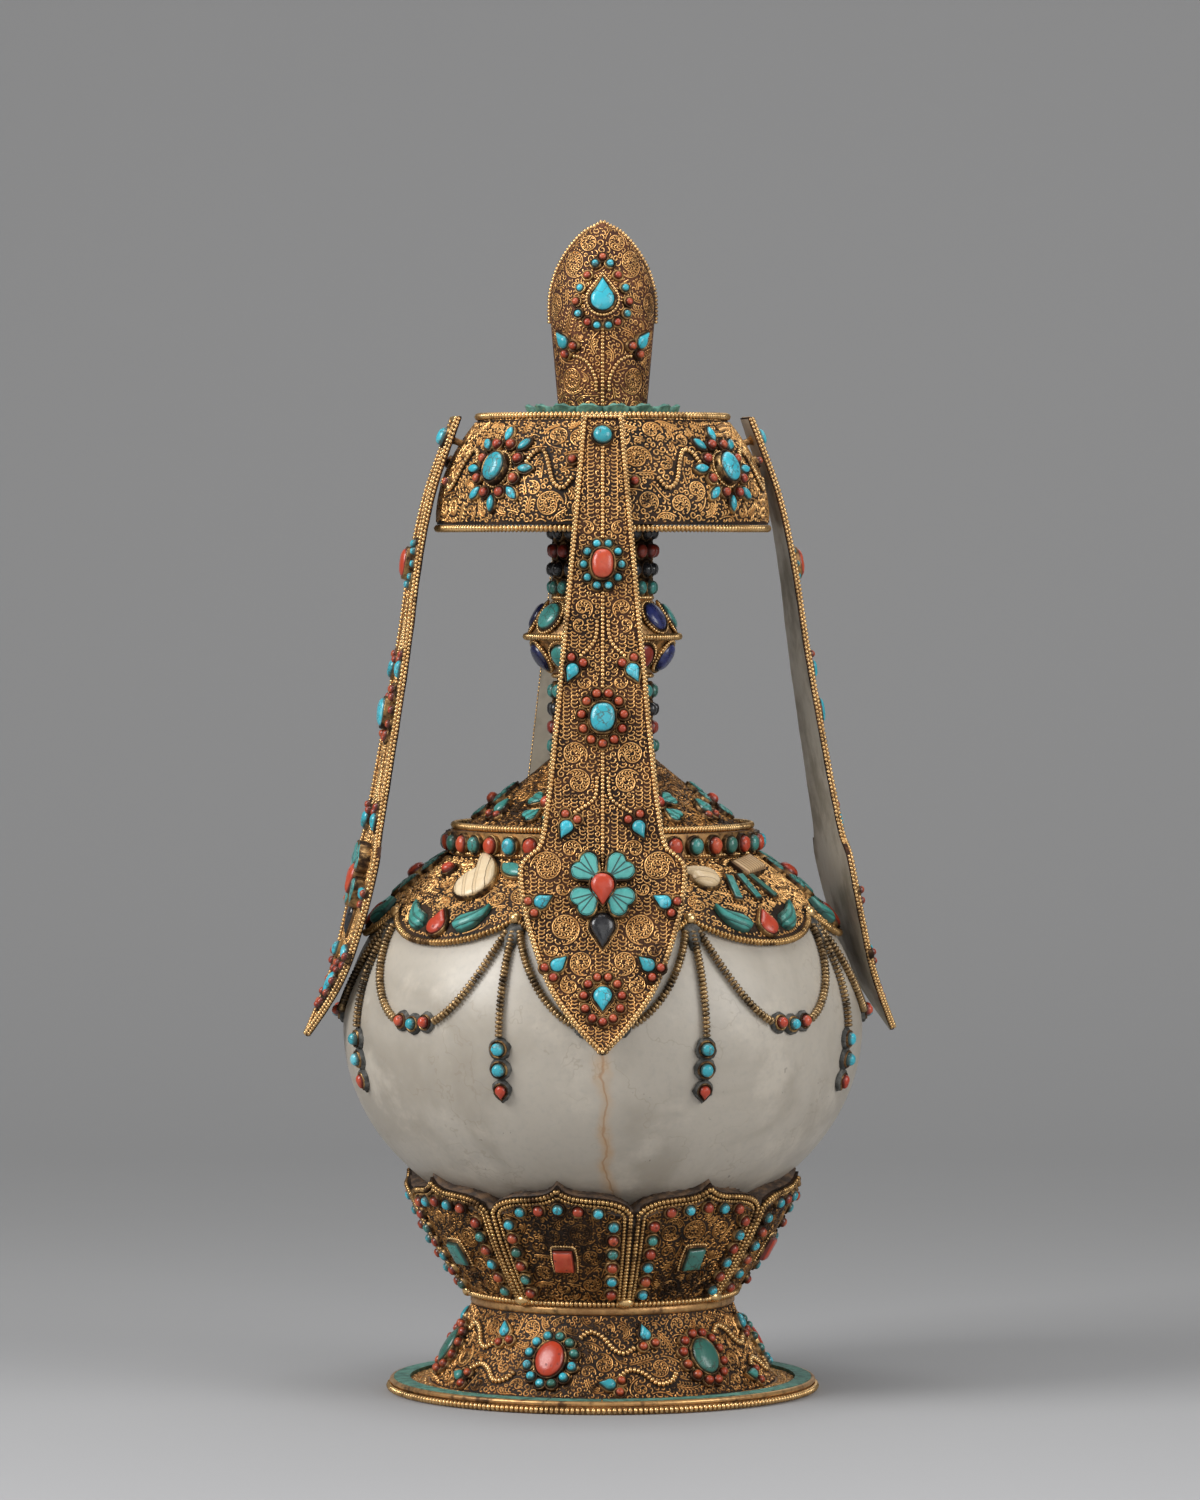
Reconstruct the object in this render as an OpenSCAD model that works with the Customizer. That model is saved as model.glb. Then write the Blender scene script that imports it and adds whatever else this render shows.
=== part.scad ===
// Lidded ritual vase: a stone belly in filigree mounts, with a hat lid and four swinging lappets

/* [Base and foot] */
// Radius of the base plate
base_r = 73; // [66:0.5:80]
// Thickness of the base plate
base_h = 3.4; // [2.6:0.1:5]
// Width of the inlaid ring on the plate's rim
inlay_w = 5.6; // [4:0.1:7]
// Thickness of the inlaid ring
inlay_t = 1.2; // [0.8:0.1:2]
// Number of inlay segments
inlay_count = 24; // [12:1:36]
// Height of the flared foot
foot_h = 27; // [22:0.5:34]
// Radius of the foot at the plate
foot_r = 60.5; // [56:0.5:64]
// Radius of the waist between foot and cup
waist_r = 45.5; // [41:0.5:50]
// Thickness of the solid ring at the waist
waist_h = 3; // [2.6:0.1:5]
// Number of large stones round the foot
foot_clusters = 6; // [4:2:6]
// Azimuth of the first large stone of the foot
foot_turn = -109.5; // [-180:0.5:180]

/* [Lotus cup] */
// Height of the cup up to the petal tips
cup_h = 44; // [38:0.5:50]
// Radius of the cup at the petal tips
cup_r = 70; // [68:0.5:76]
// Outward bulge of the cup's wall
cup_bulge = 2.5; // [0:0.1:4]
// Number of petals
petals = 8; // [6:2:8]
// Depth of the notch between two petals
petal_notch = 9.5; // [5:0.1:14]
// Azimuth of the first petal
petal_turn = -103; // [-180:0.5:180]

/* [Belly] */
// Radius of the stone belly
belly_r = 90.8; // [88:0.1:94]
// Height from the cup's floor to the widest line of the belly
belly_rise = 93.6; // [92:0.1:96]
// Height of the belly above its widest line
belly_up = 72.5; // [69:0.1:76]
// Depth of the belly below its widest line
belly_down = 74; // [71:0.1:77]
// Wall of the hollow belly
belly_wall = 8; // [5:0.5:12]
// Radius of the mouth in the stone
mouth_r = 14; // [13.5:0.1:15.5]
// Flat land cut on the top and bottom of the stone
belly_land = 3; // [2:0.1:4.5]

/* [Mantle and garlands] */
// Thickness of the metal sheet
sheet = 1.2; // [0.8:0.1:1.5]
// Number of scallops, swags and pendants
scallops = 8; // [6:2:8]
// Height of a scallop's lowest point over the widest line
scallop_low = 32.6; // [28:0.1:36]
// Rise of the edge from there to the cusp
scallop_rise = 8.5; // [5:0.1:11]
// Diameter of the garlands' beaded wire
chain_d = 2.4; // [1.8:0.1:3]
// Height of a swag's lowest point over the widest line
swag_low = 5; // [0:0.1:12]
// Diameter of the cups on the garlands
garland_cup_d = 6; // [4.5:0.1:6.6]

/* [Collar and neck] */
// Outer radius of the stone-set collar band
collar_r = 53.2; // [50:0.1:56]
// Thickness of the collar band
collar_t = 3.2; // [2.6:0.1:4]
// Height of the collar band at its outer face
collar_h = 8.6; // [7.6:0.1:10]
// Number of stones on the collar
collar_stones = 40; // [32:2:42]
// Height of the shoulder cone
cone_h = 25; // [21:0.5:29]
// Outer radius of the neck tubes
neck_r = 16; // [15.2:0.1:17.5]
// Height of the lower neck above the cone
lower_neck_h = 29; // [27.5:0.5:34]
// Height of the knop
knop_h = 26; // [24:0.5:30]
// Radius of the knop's edge
knop_r = 25.2; // [23.5:0.1:27]
// Number of stones in each row of the knop
knop_stones = 10; // [8:1:10]
// Height of the upper neck up to the mouth
upper_neck_h = 43; // [41:0.5:48]
// Stones in each row of the neck
neck_stones = 18; // [14:1:18]
// Height between two rows of stones on the neck
neck_pitch = 6.4; // [6.2:0.1:7]
// Inner radius of the liner tube
liner_r = 11.3; // [10.5:0.1:11.8]

/* [Lid] */
// Depth of the hat band below the mouth of the neck
hat_skirt = 17; // [10:0.5:22]
// Height of the hat band
hat_h = 36; // [33:0.5:40]
// Radius of the hat band at its lower edge
hat_r = 57.8; // [56:0.1:58.6]
// Radius of the hat band at its upper edge
hat_top_r = 43.6; // [42:0.1:45]
// Outward bulge of the hat band
hat_bulge = 4; // [2:0.1:4.6]
// Diameter of the rope wires
rope_d = 2.75; // [2:0.05:3.2]
// Radius of the scalloped lotus ring
lotus_r = 27.2; // [23:0.1:32]
// Thickness of the lotus ring
lotus_t = 3.4; // [2.4:0.1:4.4]
// Lobes of the lotus ring
lotus_lobes = 16; // [10:1:20]
// Height of the finial
finial_h = 68; // [56:0.5:76]
// Radius of the finial at its foot
finial_r = 15.4; // [13:0.1:18]
// Largest half width of the finial
finial_wide = 18.2; // [16.4:0.1:21]
// Length of the plug below the mouth
plug_l = 20; // [10:0.5:30]

/* [Lappets] */
// Length of a lappet from its top edge down to its tip
lappet_l = 215.5; // [205:0.5:225]
// Thickness of a lappet plate
lappet_t = 1.2; // [0.8:0.1:1.8]
// Half width at the top edge
lappet_top_w = 6.9; // [6:0.1:8]
// Half width above the leaf end
lappet_mid_w = 20.4; // [18:0.1:23]
// Largest half width of the leaf end
lappet_leaf_w = 28.5; // [26:0.1:31]
// Length of the gap between hat and lappet at the pin
lappet_gap = 4.6; // [3.5:0.1:6]
// Pin radius
pin_r = 1.2; // [0.9:0.05:1.6]
// Azimuths of the four lappet pins, set by hand
pin_front = -90; // [-95:0.5:-85]
// Azimuth of the right pin
pin_right = 10; // [0:0.5:12]
// Azimuth of the back pin
pin_back = 96; // [88:0.5:100]
// Azimuth of the left pin
pin_left = 188; // [180:0.5:190]

/* [Settings and clearances] */
// Wall of a stone setting
bezel_t = 0.4; // [0.3:0.05:0.6]
// Depth that a setting is soldered into its wall
solder = 0.5; // [0.3:0.05:0.7]
// Clearance between seated pieces
seat_gap = 0.1; // [0.05:0.01:0.2]
// Clearance of the plug in the liner
plug_gap = 0.3; // [0.2:0.05:0.5]
// Clearance of a lappet pin in its bush
pin_gap = 0.05; // [0.02:0.01:0.09]

/* [Hidden] */
$fn = 64;
STEPS = 14;
SIDES = 6;
GILT = "#b0814a";
ROPE = "#c09a55";
COPPER = "#8f6238";
TURQUOISE = "#45b4bd";
CORAL = "#c0472f";
LAPIS = "#23284f";
BONE = "#dccdb4";
STONE = "#d9d6cd";
GREEN = "#3f7f6d";
LAC = "#4a3527";

// Small steps: waist lip, cone behind its rope, knop over the neck, hat top let into the band
waist_lip = 6;
cone_step = 0.8;
knop_step = 1.2;
hat_let = 0.4;

// Heights of the stacked pieces
z_waist = base_h + seat_gap + foot_h;
z_cup = z_waist + seat_gap + waist_h + seat_gap;
waist_in = waist_r - sheet - waist_lip;
z_wide = z_cup + belly_rise;
z_stone_low = z_wide - belly_down + belly_land;
z_stone_top = z_wide + belly_up - belly_land;
mantle_lift = seat_gap + sheet;
collar_in = collar_r - collar_t;
z_collar_top = mantle_z(collar_r) + seat_gap + collar_h;
z_cone = z_collar_top + seat_gap;
z_neck = z_cone + cone_h;
z_knop = z_neck + lower_neck_h;
z_upper = z_knop + seat_gap + knop_h + seat_gap;
z_mouth = z_upper + upper_neck_h;
liner_out = liner_r + sheet;
neck_in = liner_out + seat_gap;
z_hat = z_mouth - hat_skirt;
z_hat_top = z_hat + hat_h;
z_hat_plate = z_hat_top - sheet - hat_let;
z_lotus = z_hat_top + seat_gap;
z_finial = z_lotus + lotus_t + seat_gap;
z_tip = z_finial + finial_h;

// A wall is [low z, low radius, high z, high radius, bulge]
foot_wall = [base_h + seat_gap, foot_r, z_waist, waist_r, -1.2];
cup_wall = [z_cup, waist_r, z_cup + cup_h, cup_r, cup_bulge];
cone_wall = [z_cone, collar_r - rope_d - cone_step, z_neck, neck_r + sheet + seat_gap, -0.8];
lower_wall = [z_neck, neck_r, z_knop, neck_r, 0];
upper_wall = [z_upper, neck_r, z_mouth, neck_r, 0];
knop_mid = z_knop + seat_gap + knop_h / 2;
knop_low = [z_knop + seat_gap, neck_r + knop_step, knop_mid, knop_r, 0.6];
knop_high = [knop_mid, knop_r, z_upper - seat_gap, neck_r + knop_step, 0.6];
hat_wall = [z_hat, hat_r, z_hat_top, hat_top_r, hat_bulge];
finial_tube = [0.42, 0.955];
seam_d = rope_d * 0.7;
finial_wall = [z_finial, finial_r, z_finial + finial_h * finial_tube[0], finial_wide * finial_tube[1], 0];

// Finial: round at its foot, two leaves that close to an edge at its top; [height, half width, half depth]
finial_sections = [
    [0, finial_r, finial_r],
    [finial_tube[0], finial_wide * finial_tube[1], finial_wide * finial_tube[1]],
    [0.47, finial_wide, finial_wide * 0.97],
    [0.6, finial_wide * 0.995, finial_wide * 0.86],
    [0.72, finial_wide * 0.87, finial_wide * 0.68],
    [0.83, finial_wide * 0.64, finial_wide * 0.46],
    [0.92, finial_wide * 0.35, finial_wide * 0.26],
    [1 - (seam_d + 2 * seat_gap) / finial_h, 1, 0.8]
];

// Half width and half depth of the finial at height z, and its reach at an angle from a leaf's middle
function finial_side(z) = lookup((z - z_finial) / finial_h, [for (s = finial_sections) [s[0], s[1]]]);
function finial_depth(z) = lookup((z - z_finial) / finial_h, [for (s = finial_sections) [s[0], s[2]]]);
function finial_reach(z, off) = 1 / norm([sin(off) / finial_side(z), cos(off) / finial_depth(z)]);

function share(w, z) = (z - w[0]) / (w[2] - w[0]);
function wall_r(w, z) = let (u = share(w, z)) w[1] + (w[3] - w[1]) * u + 4 * w[4] * u * (1 - u);
function wall_slope(w, z) = (w[3] - w[1] + 4 * w[4] * (1 - 2 * share(w, z))) / (w[2] - w[0]);
function wall_z(w, u) = w[0] + (w[2] - w[0]) * u;
function wall_line(w, inset) = [for (i = [0:STEPS]) let (z = wall_z(w, i / STEPS)) [wall_r(w, z) - inset, z]];
function reversed(p) = [for (i = [len(p) - 1:-1:0]) p[i]];
function degrees(length, r) = length / r * 180 / PI;

// The belly's outline, moved outwards by lift
function belly_half(z) = z > z_wide ? belly_up : belly_down;
function belly_at(z, lift = 0) =
    (belly_r + lift) * sqrt(max(0, 1 - pow((z - z_wide) / (belly_half(z) + lift), 2)));
function belly_slope(z) = (belly_at(z + 0.05) - belly_at(z - 0.05)) / 0.1;
function mantle_z(r) = z_wide + (belly_up + mantle_lift) * sqrt(1 - pow(r / (belly_r + mantle_lift), 2));
function belly_line(z0, z1, lift, n) =
    [for (i = [0:n]) let (z = z0 + (z1 - z0) * i / n) [belly_at(z, lift), z]];

// Side line of a lappet: drop from its top edge and distance from the vase's axis
z_lappet = z_hat_top + 1.5;
pin_drop = 7.8;
z_pin = z_lappet - pin_drop;
pin_tilt = 20;
r_pin = wall_r(hat_wall, z_pin - lappet_gap * sin(pin_tilt)) + lappet_gap * cos(pin_tilt);
lappet_end = lappet_l * [0.63, 0.755, 0.83, 0.89, 0.94, 1];
lappet_points = [
    [0, r_pin - 2.9],
    [pin_drop, r_pin],
    [28, r_pin + 7],
    [53, r_pin + 12],
    [84, r_pin + 16.3],
    [lappet_end[0], r_pin + 25],
    [lappet_end[1], r_pin + 30.2],
    [lappet_end[2], r_pin + 34.2],
    [lappet_end[3], r_pin + 38],
    [lappet_end[4], r_pin + 42.8],
    [lappet_end[5], r_pin + 50]
];
width_points = [
    [0, lappet_top_w],
    [lappet_l * 0.3, lappet_top_w + (lappet_mid_w - lappet_top_w) * 0.42],
    [lappet_l * 0.655, lappet_mid_w],
    [lappet_l * 0.69, lappet_leaf_w * 0.93],
    [lappet_l * 0.722, lappet_leaf_w],
    [lappet_l * 0.8, lappet_leaf_w * 0.905],
    [lappet_l * 0.895, lappet_leaf_w * 0.65],
    [lappet_l * 0.957, lappet_leaf_w * 0.32],
    [lappet_l, 0]
];

// Smooth curve through points, n steps from one point to the next
function blend(a, b, c, d, t) =
    0.5 * (2 * b + (c - a) * t + (2 * a - 5 * b + 4 * c - d) * t * t + (3 * b - a - 3 * c + d) * t * t * t);
function curve(p, n) = concat(
    [for (i = [0:len(p) - 2]) for (j = [0:n - 1])
        blend(p[max(i - 1, 0)], p[i], p[i + 1], p[min(i + 2, len(p) - 1)], j / n)],
    [p[len(p) - 1]]);

lappet_line = curve(lappet_points, 3);
width_line = curve(width_points, 4);
function lappet_r(drop) = lookup(drop, lappet_line);
function lappet_slope(drop) = (lappet_r(drop + 1) - lappet_r(drop - 1)) / 2;
function lappet_w(drop) = lookup(drop, width_line);

// A jewel is [height or drop, azimuth or sideways, outline, width, length, turn, stone]
function dome(j) = min(1.7, 0.42 * min(j[3], j[4]));
function setting_h(j) = dome(j) + seat_gap + 0.3;

// Ring of small stones round a large one on a wall, at az and height z
function wall_ring(w, z, az, n, a, b, d, kinds) = [for (i = [0:n - 1])
    let (t = 360 * (i + 0.5) / n, lean = sqrt(1 + pow(wall_slope(w, z), 2)))
    [z + b * cos(t) / lean, az + degrees(a * sin(t), wall_r(w, z + b * cos(t) / lean)), "oval", d, d, 0,
        kinds[i % len(kinds)]]];

// Three stones that make a trefoil: two corals at the root of a drop that points along turn
function wall_trefoil(w, z, az, turn) =
    let (r = wall_r(w, z), lean = sqrt(1 + pow(wall_slope(w, z), 2))) concat(
    [[z, az, "drop", 4, 6, turn, "turquoise"]],
    [for (s = [-1, 1]) [z + (2.2 * s * sin(turn) - 4.6 * cos(turn)) / lean,
        az + degrees(2.2 * s * cos(turn) + 4.6 * sin(turn), r), "oval", 3, 3, 0, "coral"]]);

// Spot on a lappet, by share of its length and share of its half width, with an offset in mm
function spot(u, v, dx = 0, dy = 0) = [lappet_l * u - dy, lappet_w(lappet_l * u) * v + dx];
function lappet_ring(u, n, a, b, d, stone) = [for (i = [0:n - 1])
    let (t = 360 * (i + 0.5) / n, s = spot(u, 0, a * sin(t), b * cos(t)))
    [s[0], s[1], "oval", d, d, 0, stone]];
function lappet_trefoil(u, v, turn) = [for (s = [-1, 1]) each
    let (d = spot(u, v * s), t = -turn * s) [
        [d[0], d[1], "drop", 4, 6, t, "turquoise"],
        for (k = [-1, 1]) [d[0] - 2.2 * k * sin(t) + 4.7 * cos(t), d[1] + 2.2 * k * cos(t) + 4.7 * sin(t),
            "oval", 3, 3, 0, "coral"]
    ]];

lappet_jewels = concat(
    [[pin_drop, 0, "oval", 6.4, 6.4, 0, "turquoise"]],
    [[lappet_l * 0.239, 0, "oval", 6.6, 9.4, 0, "coral"]],
    lappet_ring(0.239, 10, 6.4, 7.4, 2.8, "turquoise"),
    lappet_trefoil(0.409, 0.72, 155),
    [[lappet_l * 0.48, 0, "oval", 8.2, 10, 0, "turquoise"]],
    lappet_ring(0.48, 11, 7.2, 8.6, 3.1, "coral"),
    lappet_trefoil(0.654, 0.62, 155),
    [[lappet_l * 0.749, 0, "drop", 8, 11, 180, "coral"]],
    [for (s = [-1, 1]) each [
        [lappet_l * 0.717, 7.1 * s, "petal", 8.6, 8.6, -47 * s, "turquoise"],
        [lappet_l * 0.776, 7.9 * s, "petal", 8.6, 8.6, -124 * s, "turquoise"]
    ]],
    [[lappet_l * 0.812, 0, "drop", 8.4, 12.4, 180, "onyx"]],
    lappet_trefoil(0.765, 0.73, -62),
    lappet_trefoil(0.862, 0.68, -48),
    [[lappet_l * 0.918, 0, "drop", 6.4, 8.8, 180, "turquoise"]],
    lappet_ring(0.918, 11, 6.5, 7.6, 2.9, "coral"));

pin_azimuths = [pin_front, pin_right, pin_back, pin_left];
cluster_azimuths = [for (i = [0:3])
    (pin_azimuths[i] + (i < 3 ? pin_azimuths[i + 1] : pin_azimuths[0] + 360)) / 2];

// Flowers between the lappets: a large stone, corals round it and an outer ring of pointed leaves
function hat_flower(az) = let (z = wall_z(hat_wall, 0.52), r = wall_r(hat_wall, z)) concat(
    [[z, az, "oval", 8.6, 10.8, 0, "turquoise"]],
    [for (i = [0:7]) let (t = 45 * i + 22.5)
        [z + 8.6 * cos(t), az + degrees(8.6 * sin(t), r), "oval", 3.4, 3.4, 0, "coral"]],
    [for (i = [0:7]) let (t = 45 * i)
        let (leaf_z = z + 11.6 * cos(t))
        [leaf_z, az + degrees(11.6 * sin(t), wall_r(hat_wall, leaf_z)), "leaf", 3, 6, -t, "turquoise"]]);
hat_jewels = concat(
    [for (az = cluster_azimuths) each hat_flower(az)],
    [for (az = pin_azimuths) for (s = [-1, 1])
        [wall_z(hat_wall, 0.5 - 0.1 * s), az + 11 * s, "oval", 3, 3, 0, "coral"]]);
finial_drop = z_finial + finial_h * 0.57;
finial_jewels = [for (side = [-90, 90]) each concat(
    [[finial_drop, side, "drop", 6, 8.6, 0, "turquoise"]],
    [for (i = [0:13])
        let (even = 360 * (i + 0.5) / 14, t = even + 4 * sin(2 * even), z = finial_drop + 8.4 * cos(t))
        [z, side + degrees(6.1 * sin(t), finial_depth(z)), "oval", 2.4, 2.4, 0,
            i % 2 == 0 ? "coral" : "turquoise"]],
    wall_trefoil(finial_wall, z_finial + finial_h * 0.36, side - 50, 40),
    wall_trefoil(finial_wall, z_finial + finial_h * 0.36, side + 50, -40))];

// Foot: large stones in rings of small ones, with two trefoils between neighbours
foot_jewels = [for (i = [0:foot_clusters - 1]) each
    let (az = foot_turn + 360 * i / foot_clusters, odd = i % 2, z = wall_z(foot_wall, 0.44)) concat(
        [[z, az, "oval", 9.6, 12, 0, odd == 1 ? "turquoise" : "coral"]],
        wall_ring(foot_wall, z, az, 12, 8.2, 9.2, 3.3, [odd == 1 ? "coral" : "turquoise"]),
        wall_trefoil(foot_wall, wall_z(foot_wall, 0.78), az + 140 / foot_clusters, 15),
        wall_trefoil(foot_wall, wall_z(foot_wall, 0.16), az + 225 / foot_clusters, 80))];

// Lotus cup: one oblong stone on each petal and small stones along its sides and top
petal_half = 180 / petals;
function petal_jewels(az, odd) = let (z = wall_z(cup_wall, 0.4), side = petal_half - 6.2) concat(
    [[z, az, "block", 6.6, 8.6, 0, odd == 1 ? "turquoise" : "coral"]],
    [for (s = [-1, 1]) for (i = [0:5])
        [wall_z(cup_wall, 0.12 + 0.112 * i), az + s * side, "oval", 3.1, 3.1, 0,
            i % 2 == odd ? "coral" : "turquoise"]],
    [for (i = [-2:2])
        [wall_z(cup_wall, 0.815 - 0.014 * abs(i)), az + i * side * 0.36, "oval", 3.1, 3.1, 0,
            abs(i) % 2 == odd ? "turquoise" : "coral"]]);
cup_jewels = [for (i = [0:petals - 1]) each petal_jewels(petal_turn + 360 * i / petals, i % 2)];

// Mantle: an emblem in the middle of each scallop with two leaves and a coral drop under it
panel_step = 360 / scallops;
z_emblem = z_wide + 51;
z_leaves = z_wide + 40;
function panel_flower(az) = concat(
    [[z_emblem, az, "oval", 5.4, 5.4, 0, "coral"]],
    [for (i = [0:5]) let (t = 60 * i)
        [z_emblem + 4.4 * cos(t), az + degrees(7 * sin(t), belly_at(z_emblem)), "petal", 5.6, 5.6, -t,
            "turquoise"]]);
function panel_conch(az) = [
    [z_emblem + 0.5, az + 1.5, "comma", 9.5, 15, 25, "bone"],
    [z_emblem + 2.5, az + 10, "leaf", 4, 9, 60, "turquoise"],
    [z_emblem + 2, az - 10, "oval", 3.6, 3.6, 0, "coral"]
];
function panel_bundle(az) = concat(
    [[z_emblem + 1.5, az - 9.5, "comma", 6.4, 10, 70, "bone"]],
    [[z_emblem + 3, az + 8, "block", 8, 4.6, 8, "bone"]],
    [for (i = [-1:1]) [z_emblem - 2.2, az + 4.4 * i + 2, "block", 2, 8.6, 16 * i, "turquoise"]]);
function panel_jewels(az, kind) = concat(
    kind == 0 ? panel_flower(az) : kind == 1 ? panel_conch(az) : panel_bundle(az),
    [[z_leaves - 1.6, az, "drop", 5.4, 7.4, 0, "coral"]],
    [for (s = [-1, 1]) [z_leaves, az + 6.2 * s, "leaf", 5, 11.5, -62 * s, "turquoise"]]);
mantle_jewels = [for (i = [0:scallops - 1]) each
    panel_jewels(-90 + panel_step * i, i % 2 == 0 ? 0 : i % 4 == 1 ? 2 : 1)];

collar_wall = [z_cone - collar_h, collar_r, z_collar_top, collar_r, 0];
collar_jewels = [for (i = [0:collar_stones - 1])
    [wall_z(collar_wall, 0.5), 360 * i / collar_stones, "oval", 5, 5, 0, i % 2 == 0 ? "turquoise" : "coral"]];
cone_jewels = [for (i = [0:5]) each
    let (az = -60 + 60 * i, z = wall_z(cone_wall, 0.36), r = wall_r(cone_wall, z)) concat(
        [[z, az, "oval", 4.6, 4.6, 0, "coral"]],
        [for (k = [0:4]) let (t = 72 * k)
            [z + 4.2 * cos(t), az + degrees(5.6 * sin(t), r), "petal", 5.2, 5.2, -t, "turquoise"]],
        wall_trefoil(cone_wall, wall_z(cone_wall, 0.3), az + 30, 0))];

// Cups at the low point of each swag and in a row on each pendant
z_swag = z_wide + swag_low;
z_pendant = z_wide - 2;
cup_pitch = garland_cup_d + 0.9;
garland_jewels = [for (i = [0:scallops - 1]) each
    let (az = -90 + panel_step * i, end = az + panel_step / 2) concat(
    [for (k = [-1:1]) [z_swag + 0.8 * abs(k), az + degrees(k * cup_pitch * 0.86, belly_r), "oval",
        garland_cup_d - 2, garland_cup_d - 2, 0, k == 0 ? "turquoise" : "coral"]],
    [for (k = [0:1]) [z_pendant - cup_pitch * k, end, "oval", garland_cup_d - 1.4, garland_cup_d - 1.4, 0,
        "turquoise"]],
    [[z_pendant - cup_pitch * 2.1, end, "drop", garland_cup_d - 1.4, garland_cup_d, 180, "coral"]])];

// Neck: rows of round stones, and two rows of large ovals on the knop
lower_rows = floor((lower_neck_h - 2) / neck_pitch);
upper_rows = floor((upper_neck_h - 2) / neck_pitch);
lower_kinds = ["turquoise", "coral", "lapis", "turquoise"];
upper_kinds = ["turquoise", "lapis", "coral", "lapis", "turquoise", "coral"];
function neck_row(w, row, kind) = [for (i = [0:neck_stones - 1])
    [w[0] + neck_pitch * (row + 0.5) + 0.8, 360 * (i + 0.5 * (row % 2)) / neck_stones, "oval", 4.2, 4.2, 0,
        kind]];
lower_jewels = [for (i = [0:lower_rows - 1]) each neck_row(lower_wall, i, lower_kinds[i % 4])];
upper_jewels = [for (i = [0:upper_rows - 1]) each neck_row(upper_wall, i, upper_kinds[i % 6])];
knop_kinds = ["turquoise", "coral", "lapis"];
function knop_row(w, shift) = [for (i = [0:knop_stones - 1])
    [wall_z(w, 0.5), 360 * (i + shift) / knop_stones - 90, "oval", 7, 8.2, 0,
        knop_kinds[(i + shift * 2) % 3]]];

// Outlines of stones, points up along +Y
module outline(kind, w, l) {
    if (kind == "oval") {
        if (w == l) circle(d = w);
        else scale([w, l]) circle(d = 1);
    }
    if (kind == "block") square([w, l], center = true);
    if (kind == "drop") drop_outline(w, l);
    if (kind == "leaf") leaf_outline(w, l);
    if (kind == "petal") petal_outline(w, l);
    if (kind == "comma") comma_outline(w, l);
}

// The point's sides start a little inside the round end
module drop_outline(w, l) {
    a = acos(w / 2 / (l - w / 2));
    root = w / 2 * 0.97;
    translate([0, w / 2 - l / 2]) {
        circle(d = w);
        polygon([[0, l - w / 2], [-root * sin(a), root * cos(a)], [root * sin(a), root * cos(a)]]);
    }
}

module leaf_outline(w, l) {
    big = (w * w + l * l) / (4 * w);
    intersection() {
        translate([big - w / 2, 0]) circle(r = big);
        translate([w / 2 - big, 0]) circle(r = big);
    }
}

module petal_outline(w, l) {
    lobe = w * 0.29;
    for (s = [-1, 1]) translate([s * (w / 2 - lobe), l / 2 - lobe]) circle(r = lobe);
    hip = l / 2 - lobe * 1.34;
    polygon([[-w / 2 + lobe * 0.06, hip], [0, -l / 2], [w / 2 - lobe * 0.06, hip],
        [w / 2 - lobe, l / 2 - lobe * 0.5], [-w / 2 + lobe, l / 2 - lobe * 0.5]]);
}

module comma_outline(w, l) {
    translate([0, w / 2 - l / 2]) circle(d = w);
    intersection() {
        translate([0, w / 2 - l / 2]) square([w / 2, l - w / 2]);
        translate([w / 2 - l, w / 2 - l / 2]) circle(r = l);
        translate([l * 0.12, l * 0.18]) circle(d = l);
    }
}

// Stone and setting of a jewel, on the wall's face with z outwards
module stone(j) {
    high = 2 * dome(j);
    translate([0, 0, setting_h(j) - dome(j)]) {
        if (j[2] == "oval" && j[3] == j[4]) cylinder(d1 = j[3], d2 = j[3] * 0.55, h = high);
        else linear_extrude(high * 0.8) outline(j[2], j[3], j[4]);
    }
}

module setting(j, sunk) {
    rim = setting_h(j);
    room = 2 * seat_gap;
    difference() {
        translate([0, 0, -sunk]) linear_extrude(rim + sunk)
            outline(j[2], j[3] + room + 2 * bezel_t, j[4] + room + 2 * bezel_t);
        translate([0, 0, rim - dome(j) - seat_gap]) linear_extrude(rim)
            outline(j[2], j[3] + room, j[4] + room);
    }
}

// Seats for jewels: on a wall of revolution, on the belly or on a lappet
module on_wall(w, j)
    rotate([0, 0, j[1]])
        translate([wall_r(w, j[0]), 0, j[0]])
            rotate([0, atan(wall_slope(w, j[0])), 0]) rotate([90, 0, 90]) rotate(j[5]) children();

module on_belly(lift, j)
    rotate([0, 0, j[1]])
        translate([belly_at(j[0]), 0, j[0]])
            rotate([0, atan(belly_slope(j[0])), 0]) rotate([90, 0, 90]) translate([0, 0, lift])
                rotate(j[5]) children();

module on_lappet(az, j)
    rotate([0, 0, az])
        translate([lappet_r(j[0]), j[1], z_lappet - j[0]])
            rotate([0, -atan(lappet_slope(j[0])), 0]) rotate([90, 0, 90]) translate([0, 0, lappet_t / 2])
                rotate(j[5]) children();

module wall_stones(w, jewels, kind)
    for (j = jewels) if (j[6] == kind) on_wall(w, j) stone(j);

module wall_settings(w, jewels)
    for (j = jewels) on_wall(w, j) setting(j, solder);

module belly_stones(lift, jewels, kind)
    for (j = jewels) if (j[6] == kind) on_belly(lift, j) stone(j);

module belly_settings(lift, jewels, sunk)
    for (j = jewels) on_belly(lift, j) setting(j, sunk);

// Sheet-metal wall turned round the axis
module shell(w, t)
    rotate_extrude() polygon(concat(wall_line(w, 0), reversed(wall_line(w, t))));

module ring(r, z, d)
    translate([0, 0, z]) rotate_extrude() translate([r, 0]) circle(d = d);

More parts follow.
